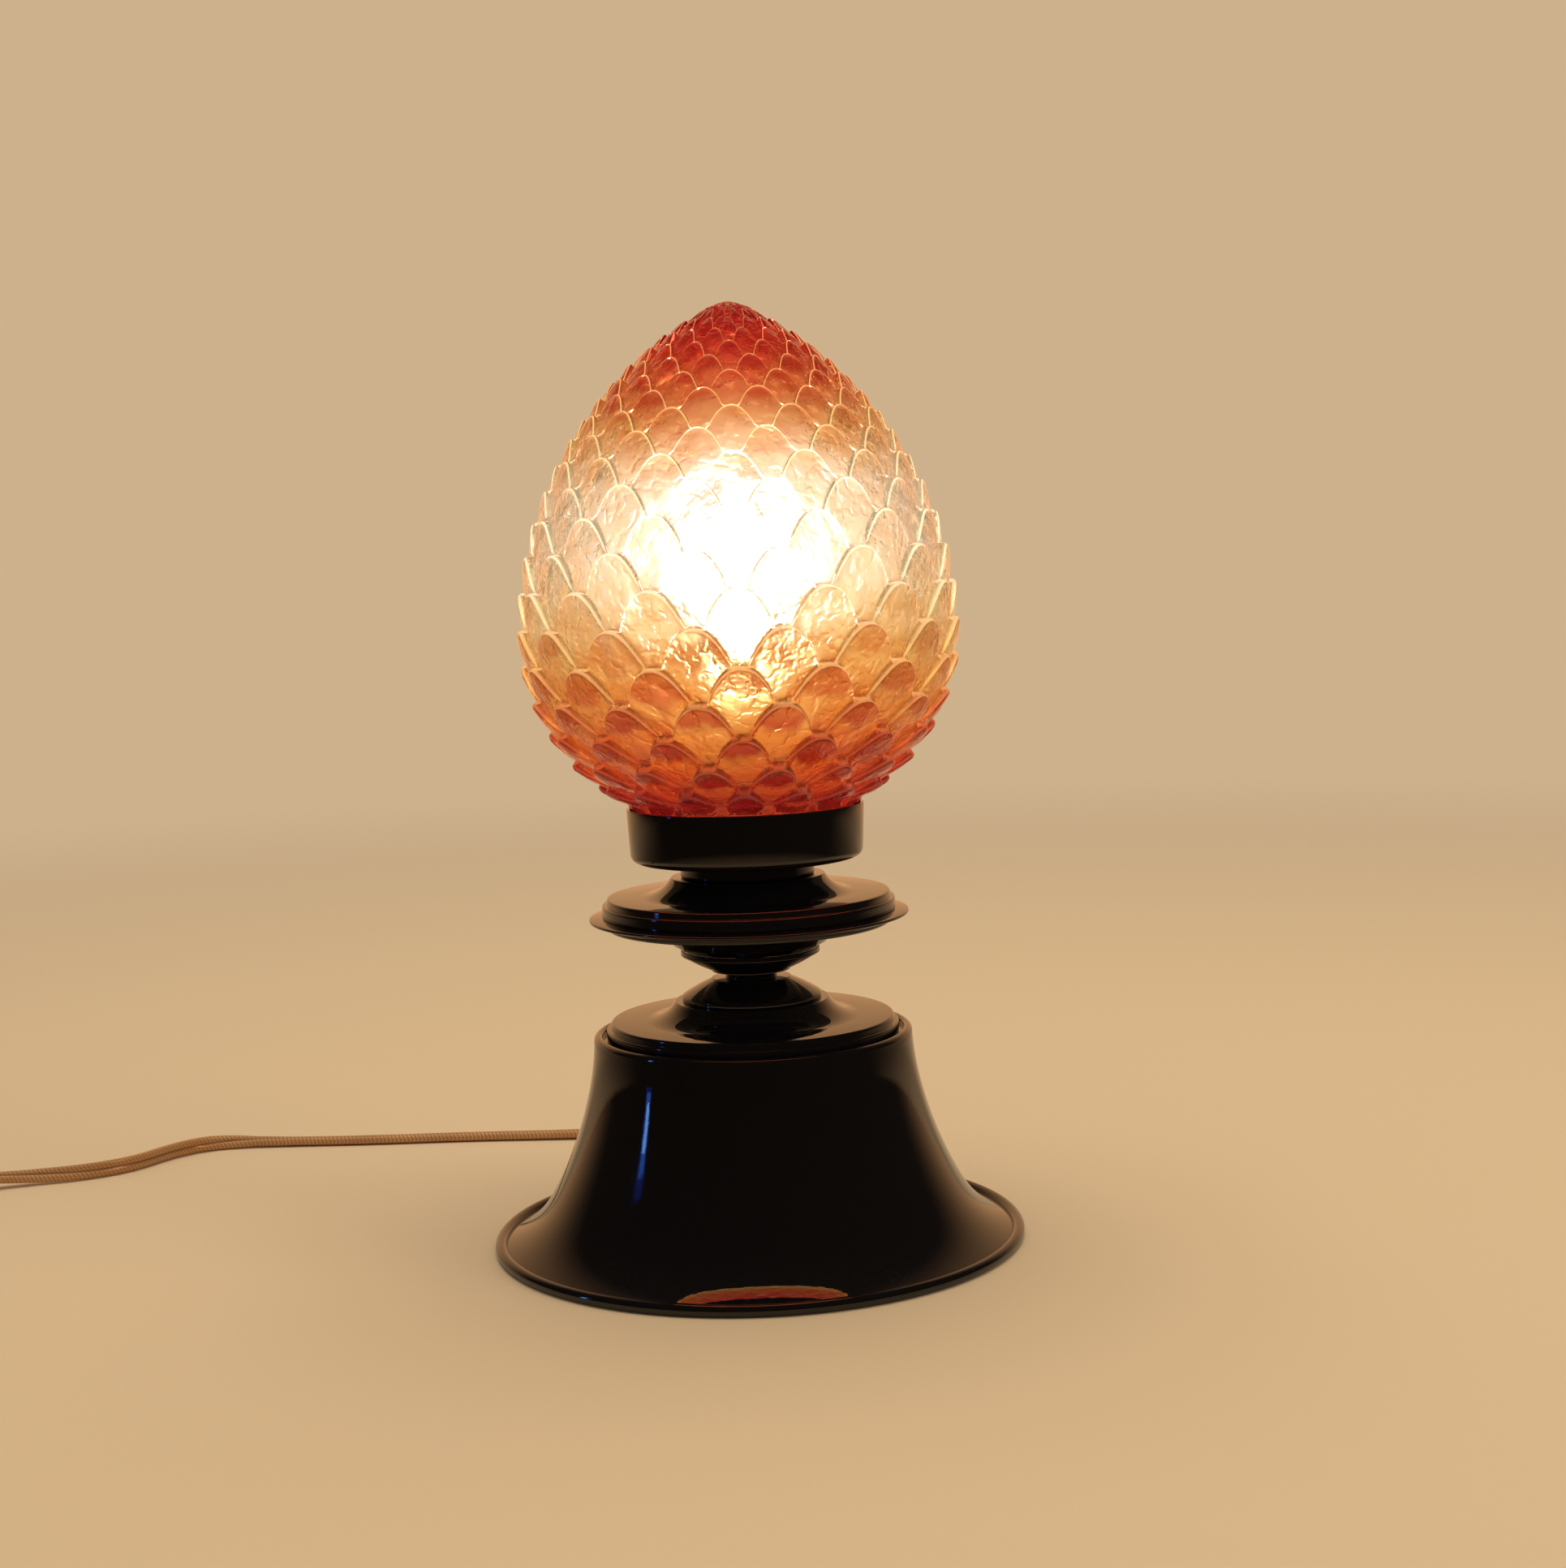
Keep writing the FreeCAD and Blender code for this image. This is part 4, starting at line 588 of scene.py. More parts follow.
@dataclass
class Studio:
    """Camera, lights, floor and background."""

    focal_pixels: float = 2849.9
    long_side_pixels: float = 1932.0
    sensor: float = 36.0
    distance: float = 783.1
    height: float = 227.7
    pitch: float = 5.216
    roll: float = -1.970
    yaw: float = 0.960
    floor_radius: float = 30.0
    floor_colour: Colour = (0.74, 0.52, 0.29)
    floor_roughness: float = 0.75
    floor_shine: float = 0.08
    floor_fade: Point2 = (0.45, 1.8)
    background: Colour = (0.61, 0.44, 0.265)
    # Painted reflections: what gloss shows of the floor and the world, amber in front and dark behind, with the
    # spans that place the dark.
    painted_amber_reflection: Colour = (0.93, 0.48, 0.21)
    painted_dark_reflection: Colour = (0.030, 0.018, 0.012)
    dark_turn: Point2 = (0.35, 0.97)
    dark_behind: Point2 = (-0.10, 1.10)
    dark_away: Point2 = (0.24, 0.50)
    far_off: Point2 = (0.6, 2.5)
    room_light: Colour = (0.98, 0.95, 0.90)
    room_strength: float = 0.42
    lights: tuple[SoftBox, ...] = (
        SoftBox("overhead", (0.0, 0.25, 1.7), (1.6, 1.4), 16.0, (1.0, 0.97, 0.93), in_gloss=False),
        SoftBox("window", (-1.46, -0.33, 0.26), (0.055, 0.24), 0.26, (0.24, 0.54, 1.0)),
        SoftBox("window_edge", (-1.47, -0.33, 0.29), (0.090, 0.42), 0.34, (0.06, 0.26, 1.0)),
        SoftBox("window_glow", (-1.48, -0.33, 0.33), (0.130, 0.58), 0.20, (0.02, 0.10, 1.0)),
        SoftBox("fill", (1.5, -0.7, 0.8), (0.9, 1.1), 8.0, (1.0, 0.93, 0.85), in_gloss=False),
    )

    def make_camera(self) -> None:
        """Stand the camera where the photograph was taken."""
        data = bpy.data.cameras.new("camera")
        data.sensor_width = self.sensor
        data.lens = self.sensor * self.focal_pixels / self.long_side_pixels
        data.clip_start = 0.05
        data.clip_end = 50.0
        camera = bpy.data.objects.new("camera", data)
        bpy.context.scene.collection.objects.link(camera)
        pitch, roll, yaw = (math.radians(value) for value in (self.pitch, self.roll, self.yaw))
        ahead = Vector((math.sin(yaw) * math.cos(pitch), math.cos(yaw) * math.cos(pitch), -math.sin(pitch)))
        right = Vector((math.cos(yaw), -math.sin(yaw), 0.0))
        above = right.cross(ahead)
        across = right * math.cos(roll) + above * math.sin(roll)
        upward = above * math.cos(roll) - right * math.sin(roll)
        turn = Matrix((across, upward, -ahead)).transposed().to_4x4()
        camera.matrix_world = Matrix.Translation((0.0, -self.distance * MM, self.height * MM)) @ turn
        bpy.context.scene.camera = camera

    @staticmethod
    def seen_directly(wiring: Nodes, path: bpy.types.Node) -> Socket:
        """One where a ray comes from the camera, off gloss or through glass."""
        seen = wiring.math("MAXIMUM", path.outputs["Is Camera Ray"], path.outputs["Is Glossy Ray"])
        return wiring.math("MAXIMUM", seen, path.outputs["Is Transmission Ray"])

    def dark_side(self, wiring: Nodes, behind: Socket, away: Socket) -> Socket:
        """Share of the painted dark reflection where a gloss mirrors the floor.

        Args:
            wiring: the floor's wiring helper.
            behind: how far back a place lies.
            away: its distance from the lamp.

        Returns:
            The share, by place near the lamp and by direction far off, as in the background.
        """
        near = wiring.times(wiring.span(behind, *self.dark_behind, 1.0, 0.0), wiring.span(away, *self.dark_away))
        far = wiring.span(wiring.math("DIVIDE", behind, away), *self.dark_turn, 1.0, 0.0)
        reach = wiring.span(away, *self.far_off)
        return wiring.plus(wiring.times(near, wiring.less(1.0, reach)), wiring.times(far, reach))

    def make_floor(self) -> None:
        """Lay a plain pale floor that fades into the background far away, and that shows a painted amber and dark
        reflection in gloss.
        """
        Bench.clear()
        bpy.ops.mesh.primitive_circle_add(vertices=96, radius=self.floor_radius, fill_type="NGON",
                                          location=(0, 0, 0))
        floor = bpy.context.active_object
        floor.name = "floor"
        material, wiring, shader = start_material("floor_paper")
        place = wiring.place()
        wiring.fill(shader, {
            "Base Color": (*self.floor_colour, 1.0),
            "Roughness": self.floor_roughness,
            "Specular IOR Level": self.floor_shine,
            "Normal": wiring.bump(wiring.noise(place, 900.0), 0.05, 0.0001),
        })
        length = wiring.add("ShaderNodeVectorMath", operation="LENGTH")
        wiring.link(place, length.inputs[0])
        away = length.outputs["Value"]
        path = wiring.add("ShaderNodeLightPath")
        in_gloss = path.outputs["Is Glossy Ray"]
        # Painted reflection: in gloss the floor glows amber, with a painted dark reflection behind the lamp.
        dark = wiring.times(self.dark_side(wiring, wiring.part(place, "Y"), away), in_gloss)
        glow = wiring.add("ShaderNodeEmission")
        shown = wiring.mix(in_gloss, self.background, self.painted_amber_reflection)
        wiring.link(wiring.mix(dark, shown, self.painted_dark_reflection), glow.inputs["Color"])
        fade = wiring.times(wiring.span(away, *self.floor_fade), self.seen_directly(wiring, path))
        wiring.blend(wiring.math("MAXIMUM", fade, dark), shader, glow)
        floor.data.materials.append(material)

    def make_world(self) -> None:
        """Give soft light all round and a plain background, with a painted amber and dark reflection for gloss."""
        world = bpy.data.worlds.new("studio")
        bpy.context.scene.world = world
        world.use_nodes = True
        wiring = Nodes(world.node_tree)
        light = next(node for node in world.node_tree.nodes if node.type == "BACKGROUND")
        wiring.fill(light, {"Color": (*self.room_light, 1.0), "Strength": self.room_strength})
        shown = wiring.add("ShaderNodeBackground")
        path = wiring.add("ShaderNodeLightPath")
        behind = wiring.part(wiring.add("ShaderNodeTexCoord").outputs["Generated"], "Y")
        # Painted reflection: gloss sees an amber room in front and a dark one behind.
        room = wiring.mix(wiring.span(behind, *self.dark_turn, 1.0, 0.0), self.painted_amber_reflection, self.painted_dark_reflection)
        wiring.link(wiring.mix(path.outputs["Is Glossy Ray"], self.background, room), shown.inputs["Color"])
        wiring.blend(self.seen_directly(wiring, path), light, shown)

    def make(self) -> None:
        """Build the whole studio."""
        self.make_camera()
        self.make_floor()
        self.make_world()
        for light in self.lights:
            light.make()
        bpy.context.scene.view_settings.view_transform = "Standard"


class Sheet:
    """Outlines of spun sheet metal, in millimetres."""

    LEAST_ROUND = 0.12
    LEAST_LEAN = 0.3

    @staticmethod
    def offset(line: list[Corner], wall: float) -> list[Corner]:
        """Step a line to its left by the wall, with each rounding kept beside its own.

        Args:
            line: (radius, level) or (radius, level, round) corners.
            wall: the step to the left.

        Returns:
            The corners of the stepped line.
        """
        stepped: list[Corner] = []
        for index, corner in enumerate(line):
            here = Vector(corner[:2])
            came = (here - Vector(line[index - 1][:2])).normalized() if index else None
            goes = (Vector(line[index + 1][:2]) - here).normalized() if index < len(line) - 1 else None
            came = came or goes
            goes = goes or came
            beside = Vector((-goes.y, goes.x))
            left = (Vector((-came.y, came.x)) + beside).normalized()
            spot = here + left * (wall / max(Sheet.LEAST_LEAN, left.dot(beside)))
            size = corner[2] if len(corner) > 2 else 0.0
            if size > 0:
                turns_left = came.x * goes.y - came.y * goes.x > 0
                size = max(Sheet.LEAST_ROUND, size - wall) if turns_left else size + wall
            stepped.append((spot.x, spot.y, size))
        return stepped

    @staticmethod
    def outline(line: list[Corner], wall: float, edge: float) -> list[Point2]:
        """Closed outline of a sheet along a line, thick to its left.

        Args:
            line: the corners of the seen side.
            wall: the sheet's thickness.
            edge: rounding of the sheet's two edges.

        Returns:
            The closed, rounded outline.
        """
        other = Sheet.offset(line, wall)
        ends = [(*line[0][:2], edge), *line[1:-1], (*line[-1][:2], edge)]
        back = [(*other[-1][:2], edge), *reversed(other[1:-1]), (*other[0][:2], edge)]
        return Outline.rounded([*ends, *back])


def dress(piece: bpy.types.Object, body: Body, slot: Slot, finish: bpy.types.Material,
          *nodes: str) -> bpy.types.Object:
    """Give a piece its finish and body, and let it stand for its nodes.

    Args:
        piece: the finished piece.
        body: the body that it rides on.
        slot: the record's slot of its finish; not used.
        finish: its material.
        nodes: the nodes that it replaces.

    Returns:
        The piece.
    """
    if not piece.data.materials:
        piece.data.materials.append(finish)
    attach(piece, body.value)
    if nodes:
        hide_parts(*nodes)
    LOG.info("%s: %d faces on %s", piece.name, len(piece.data.polygons), body.value)
    return piece


@dataclass
class Spun:
    """A black enamelled piece, spun about the lamp's axis, with its sizes in millimetres."""

    name: str
    node: str
    steps_round: ClassVar[int] = 160
    smooth_angle: ClassVar[float] = 40.0

    def outline(self) -> list[Point2]:
        """Closed outline of (radius, level)."""
        raise NotImplementedError

    def make(self, finish: bpy.types.Material) -> bpy.types.Object:
        """Build the piece."""
        piece = Bench.lathe(self.name, self.outline(), self.steps_round)
        Bench.smooth(piece, self.smooth_angle)
        return dress(piece, Body.LAMP, Slot.ENAMEL, finish, self.node)


@dataclass
class BaseBell(Spun):
    """The spun bell that the lamp stands on, with its recessed top and rolled bead."""

    name: str = "bell"
    node: str = "base_bell"
    top: float = 70.7
    sheet: float = 1.2
    recess: float = 51.5
    crest: Point2 = (52.7, 72.8)
    crest_round: float = 1.2
    shoulder: Point2 = (54.5, 71.0)
    shoulder_round: float = 1.8
    waist: list[Point2] = field(default_factory=lambda: [(57.4, 51.5), (62.0, 36.5), (68.8, 21.2), (76.6, 9.7)])
    foot: Point2 = (87.3, 2.73)
    foot_run: Point2 = (1.0, -0.45)
    top_run: Point2 = (0.04, -1.0)
    bead_centre: Point2 = (88.9, 1.95)
    bead_round: float = 2.1
    bead_steps: int = 28
    bead_gap: float = 0.15
    side_step: float = 1.6
    least_steps: int = 6
    inner_reach: float = 2.0
    steps_round: ClassVar[int] = 192

    def side(self) -> list[Point2]:
        """Smooth line down the bell's side, from the shoulder to the foot.

        Returns:
            Points of a cubic through the side's marks, with the end runs given.
        """
        marks = np.array([self.shoulder, *self.waist, self.foot])
        along = np.concatenate([[0.0], np.cumsum(np.linalg.norm(np.diff(marks, axis=0), axis=1))])
        count = len(marks)
        table = np.zeros((count, count))
        wanted = np.zeros((count, 2))
        for end, run in ((0, self.top_run), (count - 1, self.foot_run)):
            table[end, end] = 1.0
            wanted[end] = np.array(run) / np.linalg.norm(run)
        for index in range(1, count - 1):
            before = along[index] - along[index - 1]
            after = along[index + 1] - along[index]
            table[index, index - 1:index + 2] = (after, 2 * (before + after), before)
            rise = (marks[index] - marks[index - 1]) / before * after
            wanted[index] = 3 * (rise + (marks[index + 1] - marks[index]) / after * before)
        runs = np.linalg.solve(table, wanted)
        line: list[Point2] = []
        for index in range(count - 1):
            length = along[index + 1] - along[index]
            steps = max(self.least_steps, int(length / self.side_step))
            for step in range(steps):
                t = step / steps
                square, cube = t * t, t ** 3
                spot = ((2 * cube - 3 * square + 1) * marks[index]
                        + (cube - 2 * square + t) * length * runs[index]
                        + (3 * square - 2 * cube) * marks[index + 1]
                        + (cube - square) * length * runs[index + 1])
                line.append(tuple(spot.tolist()))
        return [*line, self.foot]

    def outline(self) -> list[Point2]:
        """Closed outline: out from the rod, down the outside, round the bead and up the inside.

        Returns:
            The outline of (radius, level).
        """
        side = self.side()
        centre, size = self.bead_centre, self.bead_round
        under = self.top - self.sheet
        outer = [spot for spot in side if math.dist(spot, centre) > size + self.bead_gap]
        inner = [(spot[0], spot[1]) for spot in Sheet.offset(side, -self.sheet)]
        inner = [spot for spot in inner if math.dist(spot, centre) > size and spot[1] < under
                 and spot[0] > self.shoulder[0] - self.inner_reach]
        begin, finish = (math.atan2(spot[1] - centre[1], spot[0] - centre[0]) for spot in (outer[-1], inner[-1]))
        sweep = (begin - finish) % FULL_TURN
        bead = []
        for step in range(self.bead_steps + 1):
            angle = begin - sweep * step / self.bead_steps
            bead.append((centre[0] + size * math.cos(angle), max(0.0, centre[1] + size * math.sin(angle))))
        head = [(ROD_BORE, self.top), (self.recess, self.top), (self.recess, self.crest[1] - self.crest_round)]
        head += Outline.arc(head[-1], self.crest, self.crest_round, leftward=False, steps=6)
        head += Outline.arc(self.crest, self.shoulder, self.shoulder_round, leftward=False, steps=8)
        line = [*head, *outer[1:], *bead, *reversed(inner), (inner[0][0], under), (ROD_BORE, under)]
        return [*line, line[0]]


@dataclass
class ThinPiece(Spun):
    """A spun piece of thin sheet that can stand either way up."""

    level: float
    way: int = 1
    sheet: float = 1.0
    edge: ClassVar[float] = 0.3

    def line(self) -> list[Corner]:
        """Corners of the seen side, from the rim's foot to the bore."""
        raise NotImplementedError

    def outline(self) -> list[Point2]:
        """Closed outline, upside down where its way is -1."""
        return [(radius, self.level + self.way * level)
                for radius, level in Sheet.outline(self.line(), self.sheet, self.edge)]


@dataclass
class Cover(ThinPiece):
    """A stepped cover with a hollow cone in its disc."""

    rim: float = 50.0
    rim_rise: float = 4.0
    step_in: float = 48.4
    disc_rise: float = 6.25
    flat_to: float = 37.0
    cone_foot: Point2 = (26.8, 5.5)
    land: Point2 = (26.2, 6.25)
    cone_bend: float = 12.5

    def line(self) -> list[Corner]:
        """Corners of the seen side, from the rim's foot to the bore."""
        disc = self.disc_rise
        cone_end = (self.cone_foot[0], disc + self.cone_foot[1])
        bend = Outline.arc((self.flat_to, disc), cone_end, self.cone_bend, leftward=False, steps=8)
        return [
            (self.rim, 0.0), (self.rim, self.rim_rise, 0.6), (self.step_in, self.rim_rise, 0.25),
            (self.step_in, disc, 0.8), (self.flat_to, disc), *bend,
            (self.land[0], disc + self.land[1], 0.3), (ROD_BORE, disc + self.land[1]),
        ]


@dataclass
class Cup(ThinPiece):
    """A small domed cup with a ring and a boss round the rod."""

    rim: float = 23.8
    rim_rise: float = 1.7
    rim_bevel: Point2 = (0.45, 0.35)
    dome_end: Point2 = (13.6, 7.1)
    dome_bend: float = 60.0
    ring_rise: float = 0.4
    boss: Point2 = (8.9, 8.3)
    steps_round: ClassVar[int] = 144

    def line(self) -> list[Corner]:
        """Corners of the seen side, from the rim's foot to the bore."""
        dome_start = (self.rim - self.rim_bevel[0], self.rim_rise + self.rim_bevel[1])
        dome = Outline.arc(dome_start, self.dome_end, self.dome_bend, leftward=True, steps=10)
        ring = self.dome_end[1] + self.ring_rise
        return [
            (self.rim, 0.0), (self.rim, self.rim_rise, 0.3), dome_start, *dome,
            (self.dome_end[0], ring, 0.15), (self.boss[0], ring, 0.25), (*self.boss, 0.3),
            (ROD_BORE, self.boss[1]),
        ]


@dataclass
class Ring(Spun):
    """A plain turned ring between two pieces of the stack."""

    radius: float
    low: float
    high: float
    soften: float
    steps_round: ClassVar[int] = 144

    def outline(self) -> list[Point2]:
        """Closed outline of (radius, level)."""
        return Outline.rounded([(ROD_BORE, self.low), (self.radius, self.low, self.soften),
                                (self.radius, self.high, self.soften), (ROD_BORE, self.high)])


@dataclass
class SaucerBrim(Spun):
    """The saucer's flat brim with its drooped lip."""

    name: str = "saucer_lip"
    node: str = "saucer_brim"
    level: float = 112.25
    flat: float = 50.8
    flat_round: float = 2.0
    lip: float = 54.5
    lip_round: float = 0.42
    droop: float = 0.55
    sheet: float = 1.0

    def outline(self) -> list[Point2]:
        """Closed outline of (radius, level)."""
        low, high = self.level, self.level + self.sheet
        return Outline.rounded([
            (ROD_BORE, low), (self.flat, low), (self.lip, low - self.droop, self.lip_round),
            (self.lip, high - self.droop, self.lip_round), (self.flat, high, self.flat_round), (ROD_BORE, high),
        ])


@dataclass
class GlassHolder(Spun):
    """The cup that the glass's neck stands in."""

    name: str = "holder"
    node: str = "glass_holder"
    low: float = 131.45
    high: float = 149.85
    foot: float = 39.6
    foot_round: float = 3.0
    top: float = 40.5
    sheet: float = 1.2
    edge: float = 0.5
    steps_round: ClassVar[int] = 176

    def outline(self) -> list[Point2]:
        """Closed outline of (radius, level)."""
        line = [(ROD_BORE, self.low), (self.foot, self.low, self.foot_round), (self.top, self.high)]
        return Sheet.outline(line, self.sheet, self.edge)


@dataclass
class Stack:
    """The black pieces between the bell and the glass."""

    pieces: list[Spun] = field(default_factory=lambda: [
        Cover("cover", "base_cover", 70.7),
        Cup("cup_low", "lower_cup", 83.2),
        Ring("neck_ring", "neck_spacer", 8.2, 91.5, 92.4, 0.25),
        Cup("cup_high", "upper_cup", 100.7, way=-1),
        Cover("saucer_under", "saucer_bottom", 112.25, way=-1, rim_rise=1.9, disc_rise=3.4),
        SaucerBrim(),
        Cover("saucer_over", "saucer_cover", 113.25),
        Ring("collar_ring", "collar_spacer", 22.9, 125.75, 131.45, 0.8),
        GlassHolder(),
    ])

    def make(self, finish: bpy.types.Material) -> None:
        """Build every piece of the stack."""
        for piece in self.pieces:
            piece.make(finish)


@dataclass
class ScaledEgg:
    """The blown glass egg with rows of scales that point up, with its sizes in millimetres."""

    seed: int = 12
    scales: int = 16
    columns_a_scale: int = 20
    pitch: float = 12.5
    first_tip: float = 11.3
    high_tips: list[float] = field(default_factory=lambda: [
        110.8, 121.8, 131.9, 141.2, 149.7, 157.6, 165.3, 173.0, 180.7, 188.4, 196.1, 203.8])
    steady_rows: int = 8
    waist_level: float = 208.0
    waist: float = 75.2
    upper_rise: float = 110.5
    lower_rise: float = 69.0
    taper: float = 1.45
    shoulder_level: float = 150.15
    neck_low: float = 135.1
    neck: float = 36.4
    neck_bore: float = 32.2
    wall: float = 5.4
    inside_rows: int = 43
    stand: float = 4.2
    crown: float = 1.0
    bulge: float = 1.6
    arch_drop: float = 1.65
    arch_power: float = 2.2
    least_show: float = 0.15
    rim_width: float = 3.0
    rim_round: float = 1.5
    # Where the painted highlight line lies inside each scale's rim.
    line_width: float = 0.7
    line_growth: float = 0.5
    growth_row: int = 2
    line_inset: float = 0.3
    line_climb: float = 0.8
    climb_row: int = 5
    rows_to_full: int = 4
    riser_run: float = 0.7
    riser_share: float = 0.25
    valley_width: float = 1.2
    valley_rise: float = 0.25
    # Share of the painted highlight along the valley beside each riser.
    valley_mark: float = 0.25
    side_sink: float = 0.3
    near_marks: tuple[Point2, ...] = ((0.5, 0.10), (1.3, 0.24))
    middle_marks: Point2 = (0.33, 0.66)
    far_marks: tuple[Point2, ...] = ((1.7, 0.36), (0.9, 0.22), (0.45, 0.12), (0.15, 0.05), (0.0, 0.0))
    crest_marks: tuple[float, ...] = (0.08, 0.25, 0.5, 0.75, 0.92)
    crest_dip: float = 1.3
    crest_reach: float = 0.6
    # Rim mask (painted highlight), tint and way down on the crest beyond the last row.
    crest_looks: Point3 = (0.3, 0.5, 0.4)

    def envelope(self) -> tuple[np.ndarray, np.ndarray, np.ndarray]:
        """Walk the line that the scales' tips touch, from the shoulder to the top.

        Returns:
            The walked length, the radius and the level of each point, in millimetres.
        """
        start = math.asin((self.waist_level - self.shoulder_level) / self.lower_rise)
        below = np.linspace(start, 0.0, 1500)
        above = np.linspace(0.0, math.pi / 2, 3500)[1:]
        radius = np.concatenate([self.waist * np.cos(below), self.waist * np.cos(above) ** self.taper])
        level = np.concatenate([self.waist_level - self.lower_rise * np.sin(below),
                                self.waist_level + self.upper_rise * np.sin(above)])
        length = np.concatenate([[0.0], np.cumsum(np.hypot(np.diff(radius), np.diff(level)))])
        return length, radius, level

    def marks(self, begin: np.ndarray, end: np.ndarray, size: float) -> list[np.ndarray]:
        """Place a row's grid lines, close together at its riser and its rim.

        Args:
            begin: where each column's scale starts, past its riser.
            end: where it ends.
            size: the row's size beside the lowest rows.

        Returns:
            The walked length of each grid line in every column.
        """
        height = np.maximum(end - begin, 0.0)
        near, far = ([np.minimum(value * size, part * height) for value, part in table]
                     for table in (self.near_marks, self.far_marks))
        low, high = begin + near[-1], end - far[0]
        middle = [low + (high - low) * part for part in self.middle_marks]
        return [begin, *(begin + step for step in near), *middle, *(end - step for step in far)]

    def relief(self, size: float, away: np.ndarray, down: np.ndarray, to_rim: np.ndarray,
               valley: np.ndarray) -> np.ndarray:
        """Step of a scale's face in from the line of the tips.

        Args:
            size: the row's size beside the lowest rows.
            away: how far each column lies from the scale's tip, in half scales.
            down: how far down from the tip, in scales.
            to_rim: length left to the scale's rim.
            valley: share of the valley beside the riser.

        Returns:
            The outward step of every column.
        """
        sunk = np.sin(np.pi / 2 * np.clip(down, 0, 1)) ** self.bulge
        edge = np.clip(1 - to_rim / (self.rim_width * size + TINY), 0, 1)
        step = -self.stand * size * sunk - self.crown * size * away ** 2
        step = step - self.rim_round * size * (1 - np.sqrt(np.maximum(0.0, 1 - edge ** 2)))
        return step + self.valley_rise * size * valley ** 2

    def rim_line(self, row: int, size: float, to_rim: np.ndarray) -> np.ndarray:
        """Mask of the line inside a scale's rim that the glass paints as a highlight, broader and further in on
        the upper rows.
        """
        growth, climb = (min(1.0, max(0.0, (row - first) / self.rows_to_full))
                         for first in (self.growth_row, self.climb_row))
        inset = np.abs(to_rim - (self.line_inset + self.line_climb * climb) * size)
        broad = self.line_width + self.line_growth * growth
        return np.clip(1 - inset / (broad * size + TINY), 0, 1)

    def column(self, share: np.ndarray, odd_share: np.ndarray, total: float,
               luck: np.random.Generator) -> tuple[np.ndarray, ...]:
        """Lay the rows of scales along every column of the grid.

        Args:
            share: how far each column lies from the nearest tip of an even row, in half scales.
            odd_share: the same for an odd row.
            total: walked length of the whole line.
            luck: seeded random numbers.

        Returns:
            Walked length, outward step, rim mask, tint and way down from the tip, each as (sub-row, column).
        """
        tips = [self.first_tip + self.pitch * row for row in range(self.steady_rows)] + self.high_tips
        feet = [tips[0] - 2 * self.pitch, tips[0] - self.pitch, *tips]
        columns = len(share)
        cell = np.arange(columns) / self.columns_a_scale
        reached = np.zeros(columns)
        walked, outward, rims, tints, downs = [], [], [], [], []
        for row, (foot, tip) in enumerate(zip(feet, tips)):
            even = row % 2 == 0
            away = share if even else odd_share
            pitch = (tip - foot) / 2
            size = pitch / self.pitch
            arch = tip - self.arch_drop * pitch * away ** self.arch_power
            shown = arch > reached + self.least_show
            length = np.where(shown, arch - reached, 0.0)
            begin = reached + np.minimum(self.riser_run * size, self.riser_share * length)
            end = np.where(shown, arch, reached)
            which = np.floor(cell + (0.5 if even else 0.0)) % self.scales
            tint = luck.uniform(0.0, 1.0, self.scales)[which.astype(int)]
            for mark in self.marks(begin, end, size):
                mark = np.where(shown, mark, reached)
                down = (tip - mark) / (tip - foot)
                valley = np.clip(1 - (mark - begin) / (self.valley_width * size), 0, 1)
                step = self.relief(size, away, down, end - mark, valley)
                line = self.rim_line(row, size, end - mark)
                walked.append(mark)
                outward.append(np.where(shown, step, outward[-1]) if outward else step)
                # The rim mask carries the painted highlight lines, with some along the valley.
                rims.append(np.where(shown, np.maximum(line, self.valley_mark * valley), 1.0))
                tints.append(tint)
                downs.append(down + self.side_sink * away ** 2)
            reached = end
        for part in self.crest_marks:
            dip = -self.crest_dip * max(0.0, 1 - part / self.crest_reach) ** 1.5
            walked.append(reached + (total - reached) * part)
            for values, value in zip((outward, rims, tints, downs), (dip, *self.crest_looks)):
                values.append(np.full(columns, value))
        return tuple(np.array(values) for values in (walked, outward, rims, tints, downs))

    def make(self, outer: bpy.types.Material, inner: bpy.types.Material) -> bpy.types.Object:
        """Build the egg.

        Args:
            outer: finish of the scaled outside.
            inner: finish of the uneven inner wall.

        Returns:
            The egg as one closed piece.
        """
        length, radius, level = self.envelope()
        total = float(length[-1])
        columns = self.scales * self.columns_a_scale
        turn = np.arange(columns) / self.columns_a_scale
        share = np.abs(turn - np.round(turn)) * 2
        odd_share = np.abs(turn + 0.5 - np.round(turn + 0.5)) * 2
        luck = np.random.default_rng(self.seed)
        walked, outward, rims, tints, downs = self.column(share, odd_share, total, luck)
        run_radius, run_level = np.gradient(radius, length), np.gradient(level, length)
        out_r = np.interp(walked, length, radius) + outward * np.interp(walked, length, run_level)
        out_z = np.interp(walked, length, level) - outward * np.interp(walked, length, run_radius)
        inside = np.linspace(total, 0.0, self.inside_rows + 1)[1:]
        in_r = np.interp(inside, length, radius) - self.wall * np.interp(inside, length, run_level)
        in_z = np.interp(inside, length, level) + self.wall * np.interp(inside, length, run_radius)
        keep = (in_r > self.neck_bore) | (in_z > self.waist_level)
        neck = [(self.neck_bore + 0.6, self.neck_low), (self.neck - 0.8, self.neck_low),
                (self.neck, self.neck_low + 0.8), (self.neck, self.neck_low + 6.0),
                (self.neck, self.shoulder_level - 3.0), (self.neck + 0.5, self.shoulder_level - 1.2),
                (self.neck + 2.4, self.shoulder_level - 0.2)]
